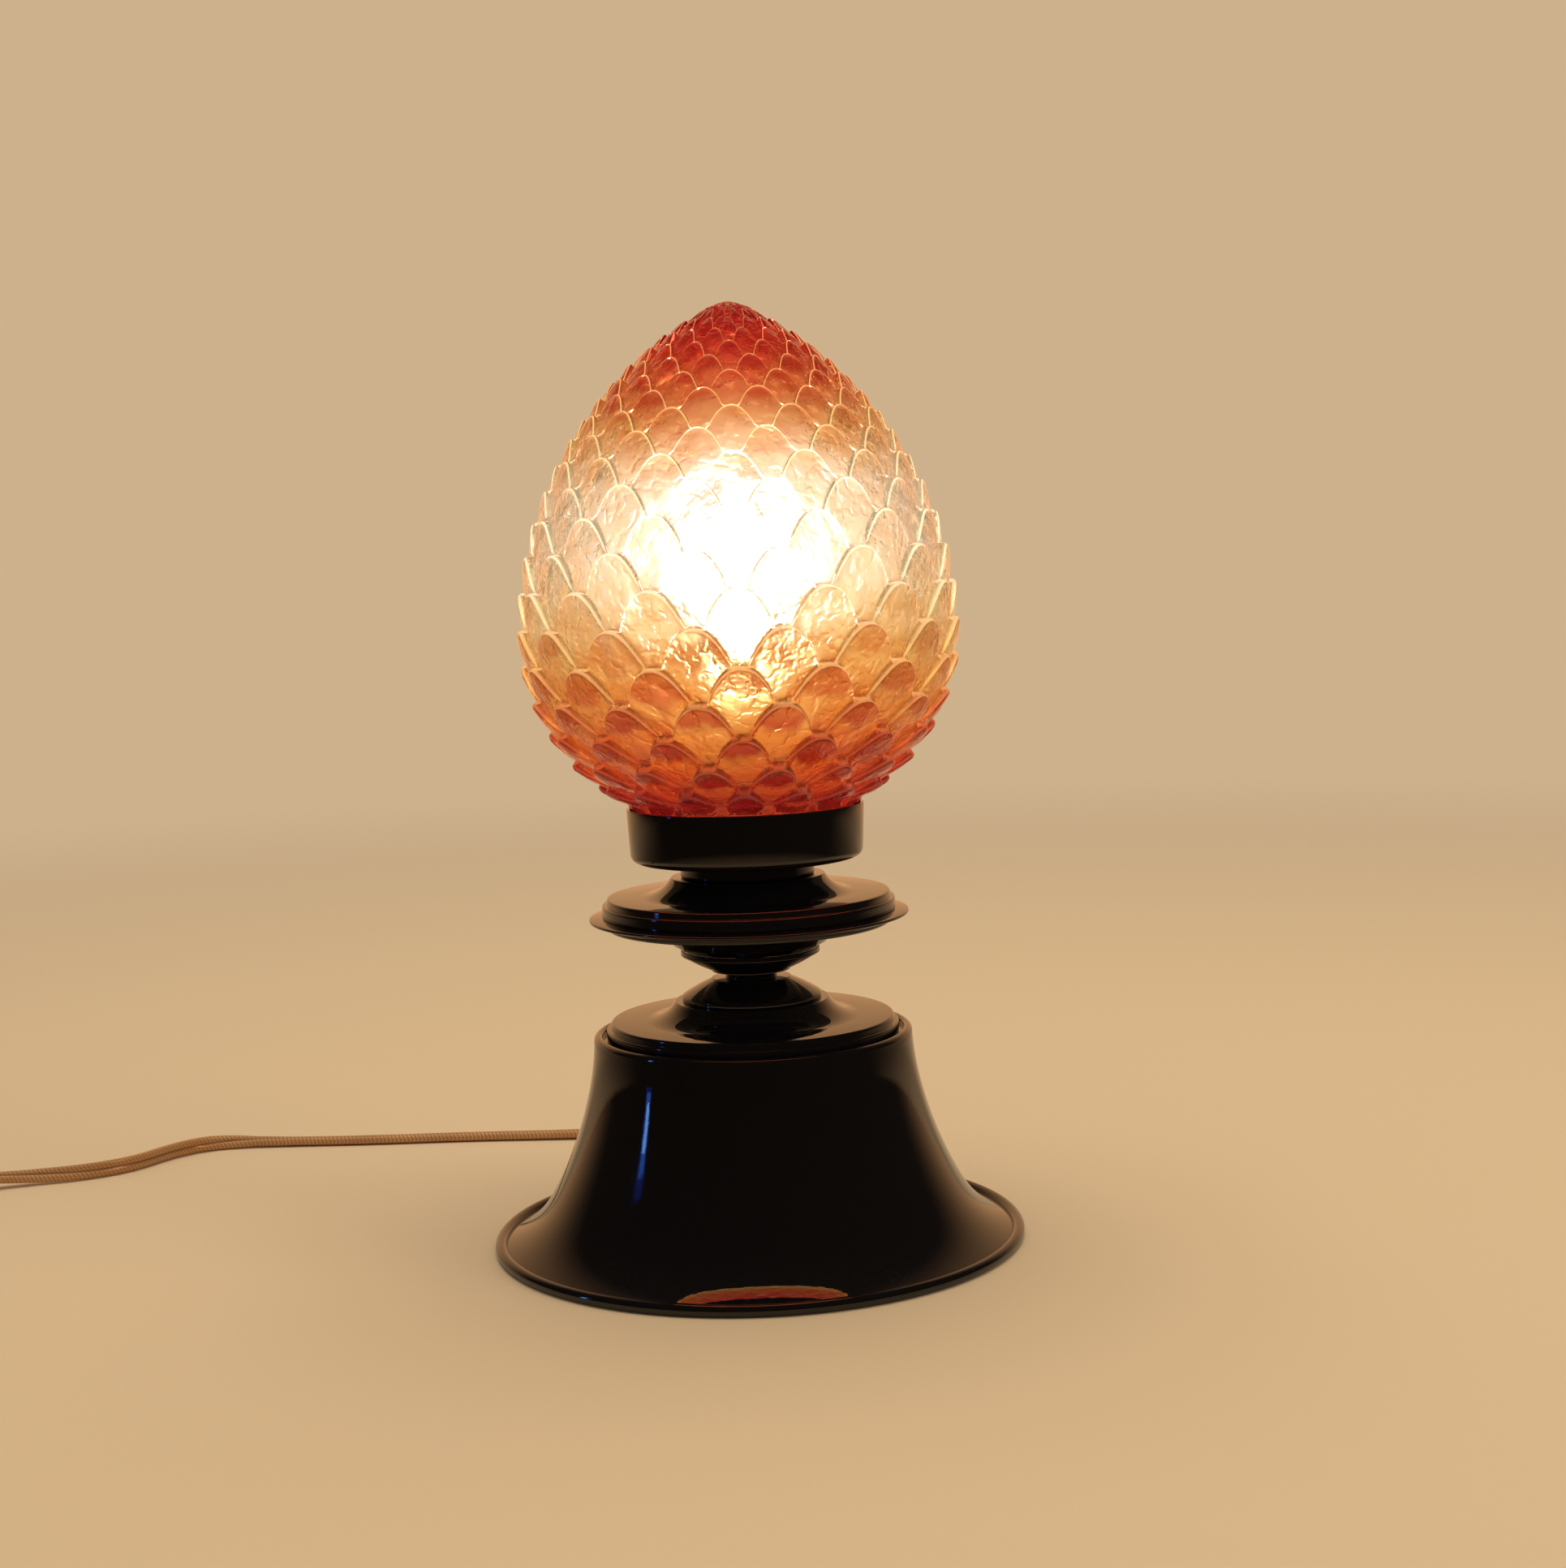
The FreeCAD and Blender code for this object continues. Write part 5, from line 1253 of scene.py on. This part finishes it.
        bore = [(self.neck_bore, self.shoulder_level + 2.0), (self.neck_bore, self.shoulder_level - 6.0),
                (self.neck_bore, self.neck_low + 0.6)]
        top = float(level[-1])
        outline = [*neck, *zip(out_r, out_z), (0.0, top), (0.0, top - self.wall),
                   *zip(np.maximum(in_r[keep], 0.0), in_z[keep]), *bore, neck[0]]
        rows = np.array([[np.broadcast_to(value, columns) for value in spot] for spot in outline])
        masks = {"rim": (rims, 0.0), "tint": (tints, 0.5), "down": (downs, 0.6)}
        piece = self.skin(rows[:, 0], rows[:, 1], masks, len(neck))
        sides = np.zeros((len(rows) - 1, columns), np.int32)
        sides[len(neck) + len(walked) + 1:, :] = 1
        for finish in (outer, inner):
            piece.data.materials.append(finish)
        piece.data.polygons.foreach_set("material_index", sides.reshape(-1))
        piece.data.update()
        bpy.ops.object.mode_set(mode="EDIT")
        Bench.tidy(2e-6)
        Bench.smooth(piece, 55)
        return dress(piece, Body.SHADE, Slot.AMBER_GLASS, outer, "glass_shade")

    def skin(self, radius: np.ndarray, level: np.ndarray, masks: dict[str, tuple[np.ndarray, float]],
             first: int) -> bpy.types.Object:
        """Wrap the rows into one mesh.

        Args:
            radius: radius of each (row, column).
            level: level of each (row, column).
            masks: attribute name to its values on the scaled rows and its value elsewhere.
            first: rows before the scaled ones.

        Returns:
            The mesh, its seam still open.
        """
        rows, columns = radius.shape
        Bench.clear()
        bpy.ops.mesh.primitive_grid_add(x_subdivisions=columns, y_subdivisions=rows - 1, size=1)
        piece = bpy.context.active_object
        piece.name = piece.data.name = "scaled_egg"
        angle = -math.pi / 2 + FULL_TURN * np.arange(columns + 1) / columns
        wrap, rise = (np.concatenate([values, values[:, :1]], axis=1) for values in (radius, level))
        spots = np.stack([wrap * np.cos(angle), wrap * np.sin(angle), rise], axis=-1) * MM
        piece.data.vertices.foreach_set("co", spots.reshape(-1).astype(np.float32))
        for name, (values, elsewhere) in masks.items():
            whole = np.full((rows, columns + 1), elsewhere, np.float32)
            whole[first:first + len(values), :columns] = values
            whole[first:first + len(values), columns] = values[:, 0]
            layer = piece.data.attributes.new(name, "FLOAT", "POINT")
            layer.data.foreach_set("value", whole.reshape(-1))
        return piece


@dataclass(frozen=True)
class AmberGlass:
    """Clear glass flashed with cranberry at both ends and pale amber at the waist, with a painted glow, halo and
    highlights of the bulb's light.
    """

    name: str = "amber_glass"
    inner_name: str = "amber_glass_inner"
    low_level: float = 0.150
    high_level: float = 0.3185
    stops: Stops = (
        (0.150, (0.64, 0.036, 0.012)), (0.163, (0.64, 0.080, 0.014)), (0.175, (0.68, 0.22, 0.026)),
        (0.187, (0.75, 0.42, 0.08)), (0.200, (0.80, 0.64, 0.24)), (0.214, (0.92, 0.89, 0.63)),
        (0.232, (0.97, 0.97, 0.93)), (0.256, (0.98, 0.98, 0.94)), (0.268, (0.91, 0.86, 0.66)),
        (0.278, (0.80, 0.60, 0.25)), (0.288, (0.66, 0.27, 0.065)), (0.300, (0.50, 0.030, 0.010)),
        (0.3185, (0.34, 0.005, 0.004)),
    )
    tip_stops: Stops = (
        (0.150, (0.13, 0.0001, 0.0018)), (0.166, (0.15, 0.0003, 0.0018)), (0.178, (0.24, 0.006, 0.003)),
        (0.190, (0.40, 0.055, 0.010)), (0.202, (0.54, 0.19, 0.040)), (0.214, (0.74, 0.50, 0.20)),
        (0.228, (0.93, 0.87, 0.68)), (0.252, (0.97, 0.96, 0.90)), (0.266, (0.84, 0.70, 0.42)),
        (0.277, (0.64, 0.34, 0.11)), (0.287, (0.46, 0.060, 0.014)), (0.300, (0.29, 0.003, 0.004)),
        (0.3185, (0.22, 0.001, 0.004)),
    )
    painted_outline_highlight: Colour = (1.0, 0.80, 0.45)
    grazing_tint: Colour = (0.72, 0.29, 0.16)
    # Strength of the painted glow and halo, as emission.
    glow: float = 1.0
    # Colour of the painted halo of the bulb's light on the inner wall.
    halo: Colour = (0.31, 0.36, 0.32)
    # Painted reflection: how much brighter the glass's glow shows in the enamel's gloss.
    painted_reflection_gain: Colour = (30.0, 30.0, 30.0)
    thickness_tint: Colour = (1.0, 0.72, 0.36)
    thickness_density: float = 5.0
    inner_tint: Colour = (1.0, 0.99, 0.97)
    refraction: float = 1.47
    drift: float = 0.014
    # Levels where the painted halo fades in and out.
    halo_from: Point2 = (0.204, 0.234)
    halo_to: Point2 = (0.256, 0.284)
    # Levels where the painted outline highlight grows and fades.
    painted_highlight_from: Point2 = (0.180, 0.225)
    painted_highlight_to: Point2 = (0.285, 0.308)
    # Painted glow: emission colour over the outside by level, standing in for the bulb's light seen in the glass.
    glow_stops: Stops = (
        (0.150, (0.07, 0.003, 0.003)), (0.172, (0.08, 0.012, 0.003)), (0.190, (0.09, 0.032, 0.006)),
        (0.215, (0.09, 0.065, 0.028)), (0.250, (0.09, 0.075, 0.048)), (0.275, (0.08, 0.034, 0.010)),
        (0.293, (0.07, 0.006, 0.003)), (0.3185, (0.06, 0.002, 0.003)),
    )
    # Painted highlight: emission colour of the outline lines by level, brightest near the bulb.
    line_stops: Stops = (
        (0.150, (0.18, 0.012, 0.008)), (0.175, (0.34, 0.065, 0.018)), (0.200, (0.54, 0.32, 0.11)),
        (0.235, (0.80, 0.68, 0.46)), (0.262, (0.86, 0.70, 0.40)), (0.278, (0.88, 0.56, 0.20)),
        (0.295, (0.80, 0.36, 0.10)), (0.3185, (0.46, 0.10, 0.030)),
    )

    def banded(self, wiring: Nodes, place: Socket, stops: Stops) -> Socket:
        """Colour that changes with the level, with a slightly uneven edge.

        Args:
            wiring: the material's wiring helper.
            place: object coordinates.
            stops: level in metres and colour.

        Returns:
            The colour.
        """
        drift = wiring.times(wiring.less(wiring.noise(place, 34.0), 0.5), self.drift)
        share = wiring.add("ShaderNodeMapRange")
        wiring.fill(share, {
            "Value": wiring.plus(wiring.part(place, "Z"), drift),
            "From Min": self.low_level,
            "From Max": self.high_level,
        })
        span = self.high_level - self.low_level
        shares = [((at - self.low_level) / span, colour) for at, colour in stops]
        return wiring.ramp(share.outputs["Result"], shares)

    @staticmethod
    def from_enamel(wiring: Nodes) -> Socket:
        """One where the outside is seen in a gloss some way off, where its glow is boosted into a painted
        reflection of the bulb's light in the enamel.
        """
        outside = wiring.less(1.0, wiring.add("ShaderNodeNewGeometry").outputs["Backfacing"])
        path = wiring.add("ShaderNodeLightPath")
        away = wiring.span(path.outputs["Ray Length"], 0.024, 0.034)
        return wiring.times(outside, away, path.outputs["Is Glossy Ray"])

    def inner_wall(self, wiring: Nodes, place: Socket, stain: Socket) -> dict[str, Socket]:
        """Uneven inner wall, with a painted halo of the lit bulb's light in it.

        Args:
            wiring: the material's wiring helper.
            place: object coordinates.
            stain: the glass's colour by level.

        Returns:
            The shader's inputs by name.
        """
        ripple = wiring.noise(place, 95.0, 2.5, 0.55)
        pits = wiring.noise(place, 240.0, 2.0, 0.6)
        level = wiring.part(place, "Z")
        # Painted halo: a glowing ring near the bulb's level, strongest on faces turned to the eye.
        ring = wiring.times(wiring.span(level, *self.halo_from), wiring.span(level, *self.halo_to, 1.0, 0.0),
                            wiring.span(wiring.facing(0.5), 0.06, 0.26, 1.0, 0.0))
        return {
            "Base Color": wiring.mix(0.7, stain, self.inner_tint),
            "Roughness": wiring.span(ripple, 0.35, 0.65, 0.22, 0.50),
            "Normal": wiring.bump(wiring.plus(ripple, wiring.times(pits, 0.12)), 0.75, 0.0022),
            "Emission Color": wiring.mix(ring, BLACK, self.halo),
        }

    def scaled_side(self, wiring: Nodes, place: Socket, stain: Socket) -> dict[str, Socket]:
        """Scaled outside, richer at each scale's tip, with a painted highlight along its outline and a painted
        glow of the bulb's light.

        Args:
            wiring: the material's wiring helper.
            place: object coordinates.
            stain: the glass's colour by level.

        Returns:
            The shader's inputs by name.
        """
        rim, tint, down = (wiring.attribute(name) for name in ("rim", "tint", "down"))
        level = wiring.part(place, "Z")
        wobble = wiring.plus(wiring.times(wiring.noise(place, 120.0), 0.5), wiring.times(tint, 0.35))
        tip = wiring.span(wiring.plus(down, wobble), 0.72, 0.98, 1.0, 0.0)
        richer = wiring.mix(tip, stain, self.banded(wiring, place, self.tip_stops))
        # Painted highlight: the outline mask, paler along each scale's rim, most near the bulb's level.
        line = wiring.span(rim, 0.35, 0.9)
        painted_highlight_share = wiring.times(wiring.span(level, *self.painted_highlight_from, 0.02, 0.30),
                             wiring.span(level, *self.painted_highlight_to, 1.0, 0.2))
        edge = wiring.mix(wiring.times(line, painted_highlight_share), richer, self.painted_outline_highlight)
        slant = wiring.span(wiring.facing(0.35), 0.15, 0.75, 0.0, 0.85)
        crease = wiring.math("ABSOLUTE", wiring.less(wiring.noise(place, 130.0, 2.5, 0.55), 0.5))
        ripple = wiring.plus(wiring.noise(place, 150.0), wiring.span(crease, 0.0, 0.09, 0.7, 0.0))
        # Painted light: emission that glows by level over the outside and brighter along the outlines.
        glow = wiring.mix(line, self.banded(wiring, place, self.glow_stops),
                          self.banded(wiring, place, self.line_stops))
        return {
            "Base Color": wiring.mix(slant, edge, wiring.tinted(edge, self.grazing_tint)),
            "Roughness": wiring.span(line, 0.0, 1.0, 0.025, 0.42),
            "Normal": wiring.bump(ripple, 0.5, 0.0007),
            # Painted reflection: this glow is made much brighter where the enamel sees it in gloss.
            "Emission Color": wiring.tinted(glow, wiring.mix(self.from_enamel(wiring), WHITE, self.painted_reflection_gain)),
        }

    def make(self, inside: bool) -> bpy.types.Material:
        """Build the finish of the scaled outside or of the inner wall.

        Args:
            inside: whether it is the inner wall's.

        Returns:
            The material.
        """
        material, wiring, shader = start_material(self.inner_name if inside else self.name)
        place = wiring.place()
        look = self.inner_wall if inside else self.scaled_side
        wiring.fill(shader, look(wiring, place, self.banded(wiring, place, self.stops)))
        # Emission of the painted glow, halo and outline highlights.
        wiring.fill(shader, {
            "Transmission Weight": 1.0,
            "IOR": self.refraction,
            "Emission Strength": self.glow,
        })
        if not inside:
            depth = wiring.add("ShaderNodeVolumeAbsorption")
            wiring.fill(depth, {"Color": (*self.thickness_tint, 1.0), "Density": self.thickness_density})
            wiring.link(depth.outputs[0], wiring.output().inputs["Volume"])
        return material


@dataclass(frozen=True)
class LitBulb:
    """Frosted bulb glass, lit."""

    name: str = "lit_bulb"
    colour: Colour = (0.98, 1.0, 0.97)
    strength: float = 44.0
    limb: float = 7.0
    lit_levels: Point2 = (0.192, 0.222)
    pale: Colour = (0.93, 0.90, 0.84)
    shade: Colour = (0.86, 0.83, 0.77)
    roughness: float = 0.35

    def make(self) -> bpy.types.Material:
        """Build the material, whose light adds nothing to matt surfaces.

        Returns:
            The bulb glass, brightest at its middle and dark at its neck.
        """
        material, wiring, shader = start_material(self.name)
        place = wiring.place()
        frost = wiring.noise(place, 90.0, 3.0)
        bounces = wiring.add("ShaderNodeLightPath").outputs["Diffuse Depth"]
        share = wiring.times(
            wiring.span(frost, 0.3, 0.7, 0.88, 1.0),
            wiring.math("POWER", wiring.less(1.0, wiring.facing(0.5)), self.limb),
            wiring.span(wiring.part(place, "Z"), *self.lit_levels, 0.02, 1.0),
            wiring.math("LESS_THAN", bounces, 0.5),
        )
        wiring.fill(shader, {
            "Base Color": wiring.mix(frost, self.pale, self.shade),
            "Roughness": self.roughness,
            "Emission Color": wiring.mix(share, BLACK, self.colour),
            "Emission Strength": self.strength,
        })
        return material


@dataclass(frozen=True)
class ClearFlex:
    """Gold-coloured strands under clear insulation."""

    name: str = "clear_flex"
    strand: Colour = (0.56, 0.27, 0.075)
    gap: Colour = (0.36, 0.15, 0.04)
    pale: Colour = (0.70, 0.40, 0.14)
    # Darker colour along the groove between the cores: the clear web without copper, and painted shade in the
    # groove.
    web_and_groove_shade: Colour = (0.22, 0.075, 0.018)
    lay_length: float = 0.0016
    lay_slant: float = 3.0

    def make(self) -> bpy.types.Material:
        """Build the material from the flex's own map: across its width, and along its length.

        Returns:
            The flex's finish.
        """
        material, wiring, shader = start_material(self.name)
        across, along = wiring.attribute("across"), wiring.attribute("along")
        slant = wiring.plus(wiring.times(along, 1 / self.lay_length), wiring.times(across, self.lay_slant))
        lay = wiring.span(wiring.math("SINE", wiring.times(slant, FULL_TURN)), -0.9, 0.6)
        drift = wiring.span(wiring.noise(wiring.place(), 45.0, 3.0), 0.3, 0.7)
        laid = wiring.mix(wiring.times(lay, 0.6), self.gap, wiring.mix(drift, self.strand, self.pale))
        # Darker along the groove: partly the clear web, partly painted shade.
        off_middle = wiring.math("ABSOLUTE", wiring.less(across, 0.5))
        wiring.fill(shader, {
            "Base Color": wiring.mix(wiring.span(off_middle, 0.02, 0.14, 0.75, 0.0), laid, self.web_and_groove_shade),
            "Roughness": wiring.span(lay, 0.0, 1.0, 0.28, 0.42),
            "Coat Weight": 0.7,
            "Coat Roughness": 0.12,
            "Normal": wiring.bump(lay, 0.2, 0.0001),
        })
        return material


@dataclass
class Flex:
    """The flat twin flex, from the lamp through the hand switch and its coil to the plug."""

    run: list[Point3] = field(default_factory=lambda: [
        (0, 91, 12), (0, 106.5, 12), (-5.6, 121.6, 10.6), (-16.5, 134.2, 7.6), (-31.8, 143, 4.4),
        (-50, 147.6, 2.3), (-80, 149.2, 1.7), (-119, 152.4, 1.6), (-160, 152.8, 1.6), (-190, 155.2, 1.7),
        (-213, 156.0, 2.2),
        (-227.1, 150.8, 3.1), (-238.2, 139.3, 3.1), (-248, 121.6, 3.1), (-264.5, 111.5, 3.0), (-286, 107, 3.2),
        (-302, 101.0, 4.8), (-316, 97.5, 5)])
    link: list[Point3] = field(default_factory=lambda: [
        (-376.624, 84.509, 5), (-388.749, 81.911, 4.9), (-399.8, 75.1, 4.2), (-409.2, 63.4, 3.4),
        (-415.5, 45.5, 3.1)])
    coil_centre: Point2 = (-372.75, 22.5)
    coil_radius: float = 42.75
    coil_pitch: float = 6.5
    turns: int = 6
    points_a_turn: int = 24
    layer_low: float = 3.1
    layer_high: float = 9.5
    climb_turn: float = 2.75
    climb_length: float = 0.5
    tail: list[Point3] = field(default_factory=lambda: [
        (-415.5, 16.5, 9.5), (-415.5, 4.5, 9.5), (-411.88, -9.02, 8.2), (-404.88, -21.15, 6.9),
        (-396.39, -29.64, 6.9)])
    width: float = 6.0
    lobe: float = 1.5
    groove: float = 0.85
    declared: float = 1.82
    exit: Point3 = (0.0, 97.0, 12.0)
    clear: float = 0.2
    switch_end: float = -330.0
    edge_marks: tuple[Point2, ...] = (
        (-316, 0.0), (-300, 12.0), (-286, 32.0), (-262, 75.0), (-246, 90.0), (-229, 90.0), (-206, 12.0),
        (-190, 0.0))
    link_from: float = -374.0
    link_turn: Point2 = (46.0, 78.0)
    tail_from: float = -390.0
    tail_low: float = 16.0
    tail_turn: Point2 = (-26.0, 2.0)

    def coil(self) -> list[Point3]:
        """Turns of the coil: inwards in the lower layer and outwards in the upper one.

        Returns:
            The spline's points along the coil.
        """
        points = []
        for step in range(1, self.turns * self.points_a_turn):
            t = step / self.points_a_turn
            radius = self.coil_radius - self.coil_pitch * min(t, self.turns - t)
            angle = math.pi + FULL_TURN * t
            share = min(1.0, max(0.0, (t - self.climb_turn) / self.climb_length))
            share = share * share * (3 - 2 * share)
            level = self.layer_low + (self.layer_high - self.layer_low) * share
            points.append((self.coil_centre[0] + radius * math.cos(angle),
                           self.coil_centre[1] + radius * math.sin(angle), level))
        return points

    def route(self) -> list[Vector]:
        """Read the smooth line of the flex from its spline.

        Returns:
            Points along the flex in metres.
        """
        points = [*self.run, *self.link, *self.coil(), *self.tail]
        curve = bpy.data.curves.new("flex_route", "CURVE")
        curve.dimensions = "3D"
        curve.resolution_u = 10
        spline = curve.splines.new("NURBS")
        spline.points.add(len(points) - 1)
        for spot, point in zip(spline.points, points):
            spot.co = (point[0] * MM, point[1] * MM, (point[2] + self.clear) * MM, 1.0)
        spline.order_u = 3
        spline.use_endpoint_u = True
        holder = bpy.data.objects.new("flex_route", curve)
        bpy.context.scene.collection.objects.link(holder)
        bpy.context.view_layer.update()
        mesh = bpy.data.meshes.new_from_object(holder)
        line = [vertex.co.copy() for vertex in mesh.vertices]
        bpy.data.objects.remove(holder)
        bpy.data.meshes.remove(mesh)
        return line

    def stand_on_edge(self, spot: np.ndarray) -> float:
        """How far the flex is turned from lying flat at a place of its run.

        Args:
            spot: a point of the line, in metres.

        Returns:
            The angle in radians, a quarter turn where it stands on edge.
        """
        x, y = (float(value) / MM for value in spot[:2])
        if x > self.switch_end:
            return math.radians(float(np.interp(x, *zip(*self.edge_marks))))
        if y > self.link_turn[0] and x < self.link_from:
            return math.radians(float(np.interp(y, self.link_turn, (90.0, 0.0))))
        off_coil = math.dist((x, y), self.coil_centre) > self.coil_radius + self.lobe
        if y < self.tail_low and x < self.tail_from and off_coil:
            return math.radians(float(np.interp(y, self.tail_turn, (0.0, 90.0))))
        return math.pi / 2

    def section(self) -> list[Point2]:
        """Outline of the twin flex across its run, two cores side by side.

        Returns:
            Points round the section, in millimetres.
        """
        arc = [math.radians(-120 + 240 * step / 8) for step in range(9)]
        right = [(self.lobe + self.lobe * math.cos(angle), self.lobe * math.sin(angle)) for angle in arc]
        left = [(-x, -y) for x, y in right]
        return [*right, (0.0, self.groove), *left, (0.0, -self.groove)]

    def make(self, finish: bpy.types.Material, with_pieces: list[str]) -> bpy.types.Object:
        """Build the flex.

        Args:
            finish: its material.
            with_pieces: names of the pieces that sit on it; not used.

        Returns:
            The flex as one mesh tube.
        """
        line = self.route()
        section = self.section()
        spots = np.array([tuple(point) for point in line])
        runs = np.gradient(spots, axis=0)
        runs /= np.linalg.norm(runs, axis=1)[:, None]
        walked = np.concatenate([[0.0], np.cumsum(np.linalg.norm(np.diff(spots, axis=0), axis=1))])
        rings, around, along = [], [], []
        for spot, run, length in zip(spots, runs, walked):
            across = np.cross(run, (0.0, 0.0, 1.0))
            across /= np.linalg.norm(across)
            above = np.cross(across, run)
            turn = self.stand_on_edge(spot)
            wide = across * math.cos(turn) + above * math.sin(turn)
            thick = above * math.cos(turn) - across * math.sin(turn)
            rings += [tuple(spot + (wide * x + thick * y) * MM) for x, y in section]
            around += [abs(math.atan2(y, x) / FULL_TURN) * 2 for x, y in section]
            along += [length] * len(section)
        count, sides = len(spots), len(section)
        faces = [[ring * sides + side, ring * sides + (side + 1) % sides,
                  (ring + 1) * sides + (side + 1) % sides, (ring + 1) * sides + side]
                 for ring in range(count - 1) for side in range(sides)]
        faces += [list(range(sides))[::-1], list(range((count - 1) * sides, count * sides))]
        mesh = bpy.data.meshes.new("flex")
        mesh.from_pydata(rings, [], faces)
        for name, values in (("across", around), ("along", along)):
            layer = mesh.attributes.new(name, "FLOAT", "POINT")
            layer.data.foreach_set("value", np.array(values, np.float32))
        piece = bpy.data.objects.new("flex", mesh)
        bpy.context.scene.collection.objects.link(piece)
        Bench.pick(piece)
        bpy.ops.object.mode_set(mode="EDIT")
        Bench.face_outwards()
        Bench.smooth(piece, 60)
        dress(piece, Body.LAMP, Slot.FLEX, finish, "cord_run", "cord_link", "cord_coil", "cord_tail")
        return piece


class CarriedOver:
    """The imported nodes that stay, each with its finish."""

    FINISHES = {
        Slot.STEEL: Plain("satin_steel", (0.46, 0.46, 0.47), (0.36, 0.36, 0.38), 0.30, 1.0),
        Slot.NICKEL: Plain("nickel", (0.66, 0.62, 0.56), (0.56, 0.53, 0.48), 0.20, 1.0, 700.0, 0.00001),
        Slot.BRASS: Plain("brass", (0.72, 0.50, 0.20), (0.55, 0.36, 0.13), 0.26, 1.0),
        # The ceramic lampholder carries a painted glow of the bulb's light.
        Slot.CERAMIC: Plain("glazed_ceramic", (0.80, 0.77, 0.70), (0.74, 0.71, 0.64), 0.18, 0.0, 300.0,
                            lit=(0.75, 0.47, 0.22)),
        Slot.PLASTIC: Plain("moulded_plastic", (0.016, 0.015, 0.015), (0.024, 0.022, 0.021), 0.34, 0.0, 1600.0,
                            0.00004),
        Slot.BLACK_GLASS: Plain("insulator_glass", (0.012, 0.011, 0.012), (0.02, 0.018, 0.018), 0.10),
        Slot.RUBBER: Plain("gasket_rubber", (0.030, 0.028, 0.027), (0.045, 0.042, 0.040), 0.62),
        Slot.FELT: Plain("felt", (0.030, 0.045, 0.034), (0.055, 0.075, 0.058), 0.92, 0.0, 1800.0, 0.0004),
        Slot.BOARD: Plain("hardboard", (0.23, 0.13, 0.062), (0.17, 0.092, 0.042), 0.75, 0.0, 1200.0, 0.0001),
        Slot.FLEX: Plain("inner_flex", (0.62, 0.33, 0.105), (0.45, 0.22, 0.07), 0.35),
        Slot.TUNGSTEN: Plain("tungsten", (0.35, 0.33, 0.30), (0.25, 0.24, 0.22), 0.35, 1.0),
    }

    def __init__(self, loaded: dict) -> None:
        """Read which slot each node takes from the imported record."""
        self.nodes = loaded["nodes"]
        self.slots = {entry["node"]: entry["material_slot"] for entry in loaded["record"]["subparts"]}

    def make(self, special: dict[Slot, bpy.types.Material]) -> None:
        """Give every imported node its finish.

        Args:
            special: finishes that other pieces use too.
        """
        made = dict(special)
        for name, node in self.nodes.items():
            slot = Slot(self.slots[name])
            if slot not in made:
                made[slot] = self.FINISHES[slot].make()
            node.data.materials.clear()
            node.data.materials.append(made[slot])
            LOG.info("%s takes %s", name, made[slot].name)


def main() -> None:
    """Build the studio and dress the lamp."""
    logging.basicConfig(level=logging.INFO, format="%(message)s")
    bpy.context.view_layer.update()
    Studio().make()
    enamel = Enamel().make()
    glass = AmberGlass()
    outer, inner = glass.make(inside=False), glass.make(inside=True)
    CarriedOver(frame).make({Slot.ENAMEL: enamel, Slot.AMBER_GLASS: outer, Slot.BULB_GLASS: LitBulb().make()})
    BaseBell().make(enamel)
    Stack().make(enamel)
    ScaledEgg().make(outer, inner)
    Flex().make(ClearFlex().make(), ["cord_grommet", "switch_base", "switch_cover", "switch_rocker", "switch_pin",
                                     "switch_contacts", "plug_relief", "plug_body", "plug_pins", "plug_sleeves"])


if __name__ == "__main__":
    main()
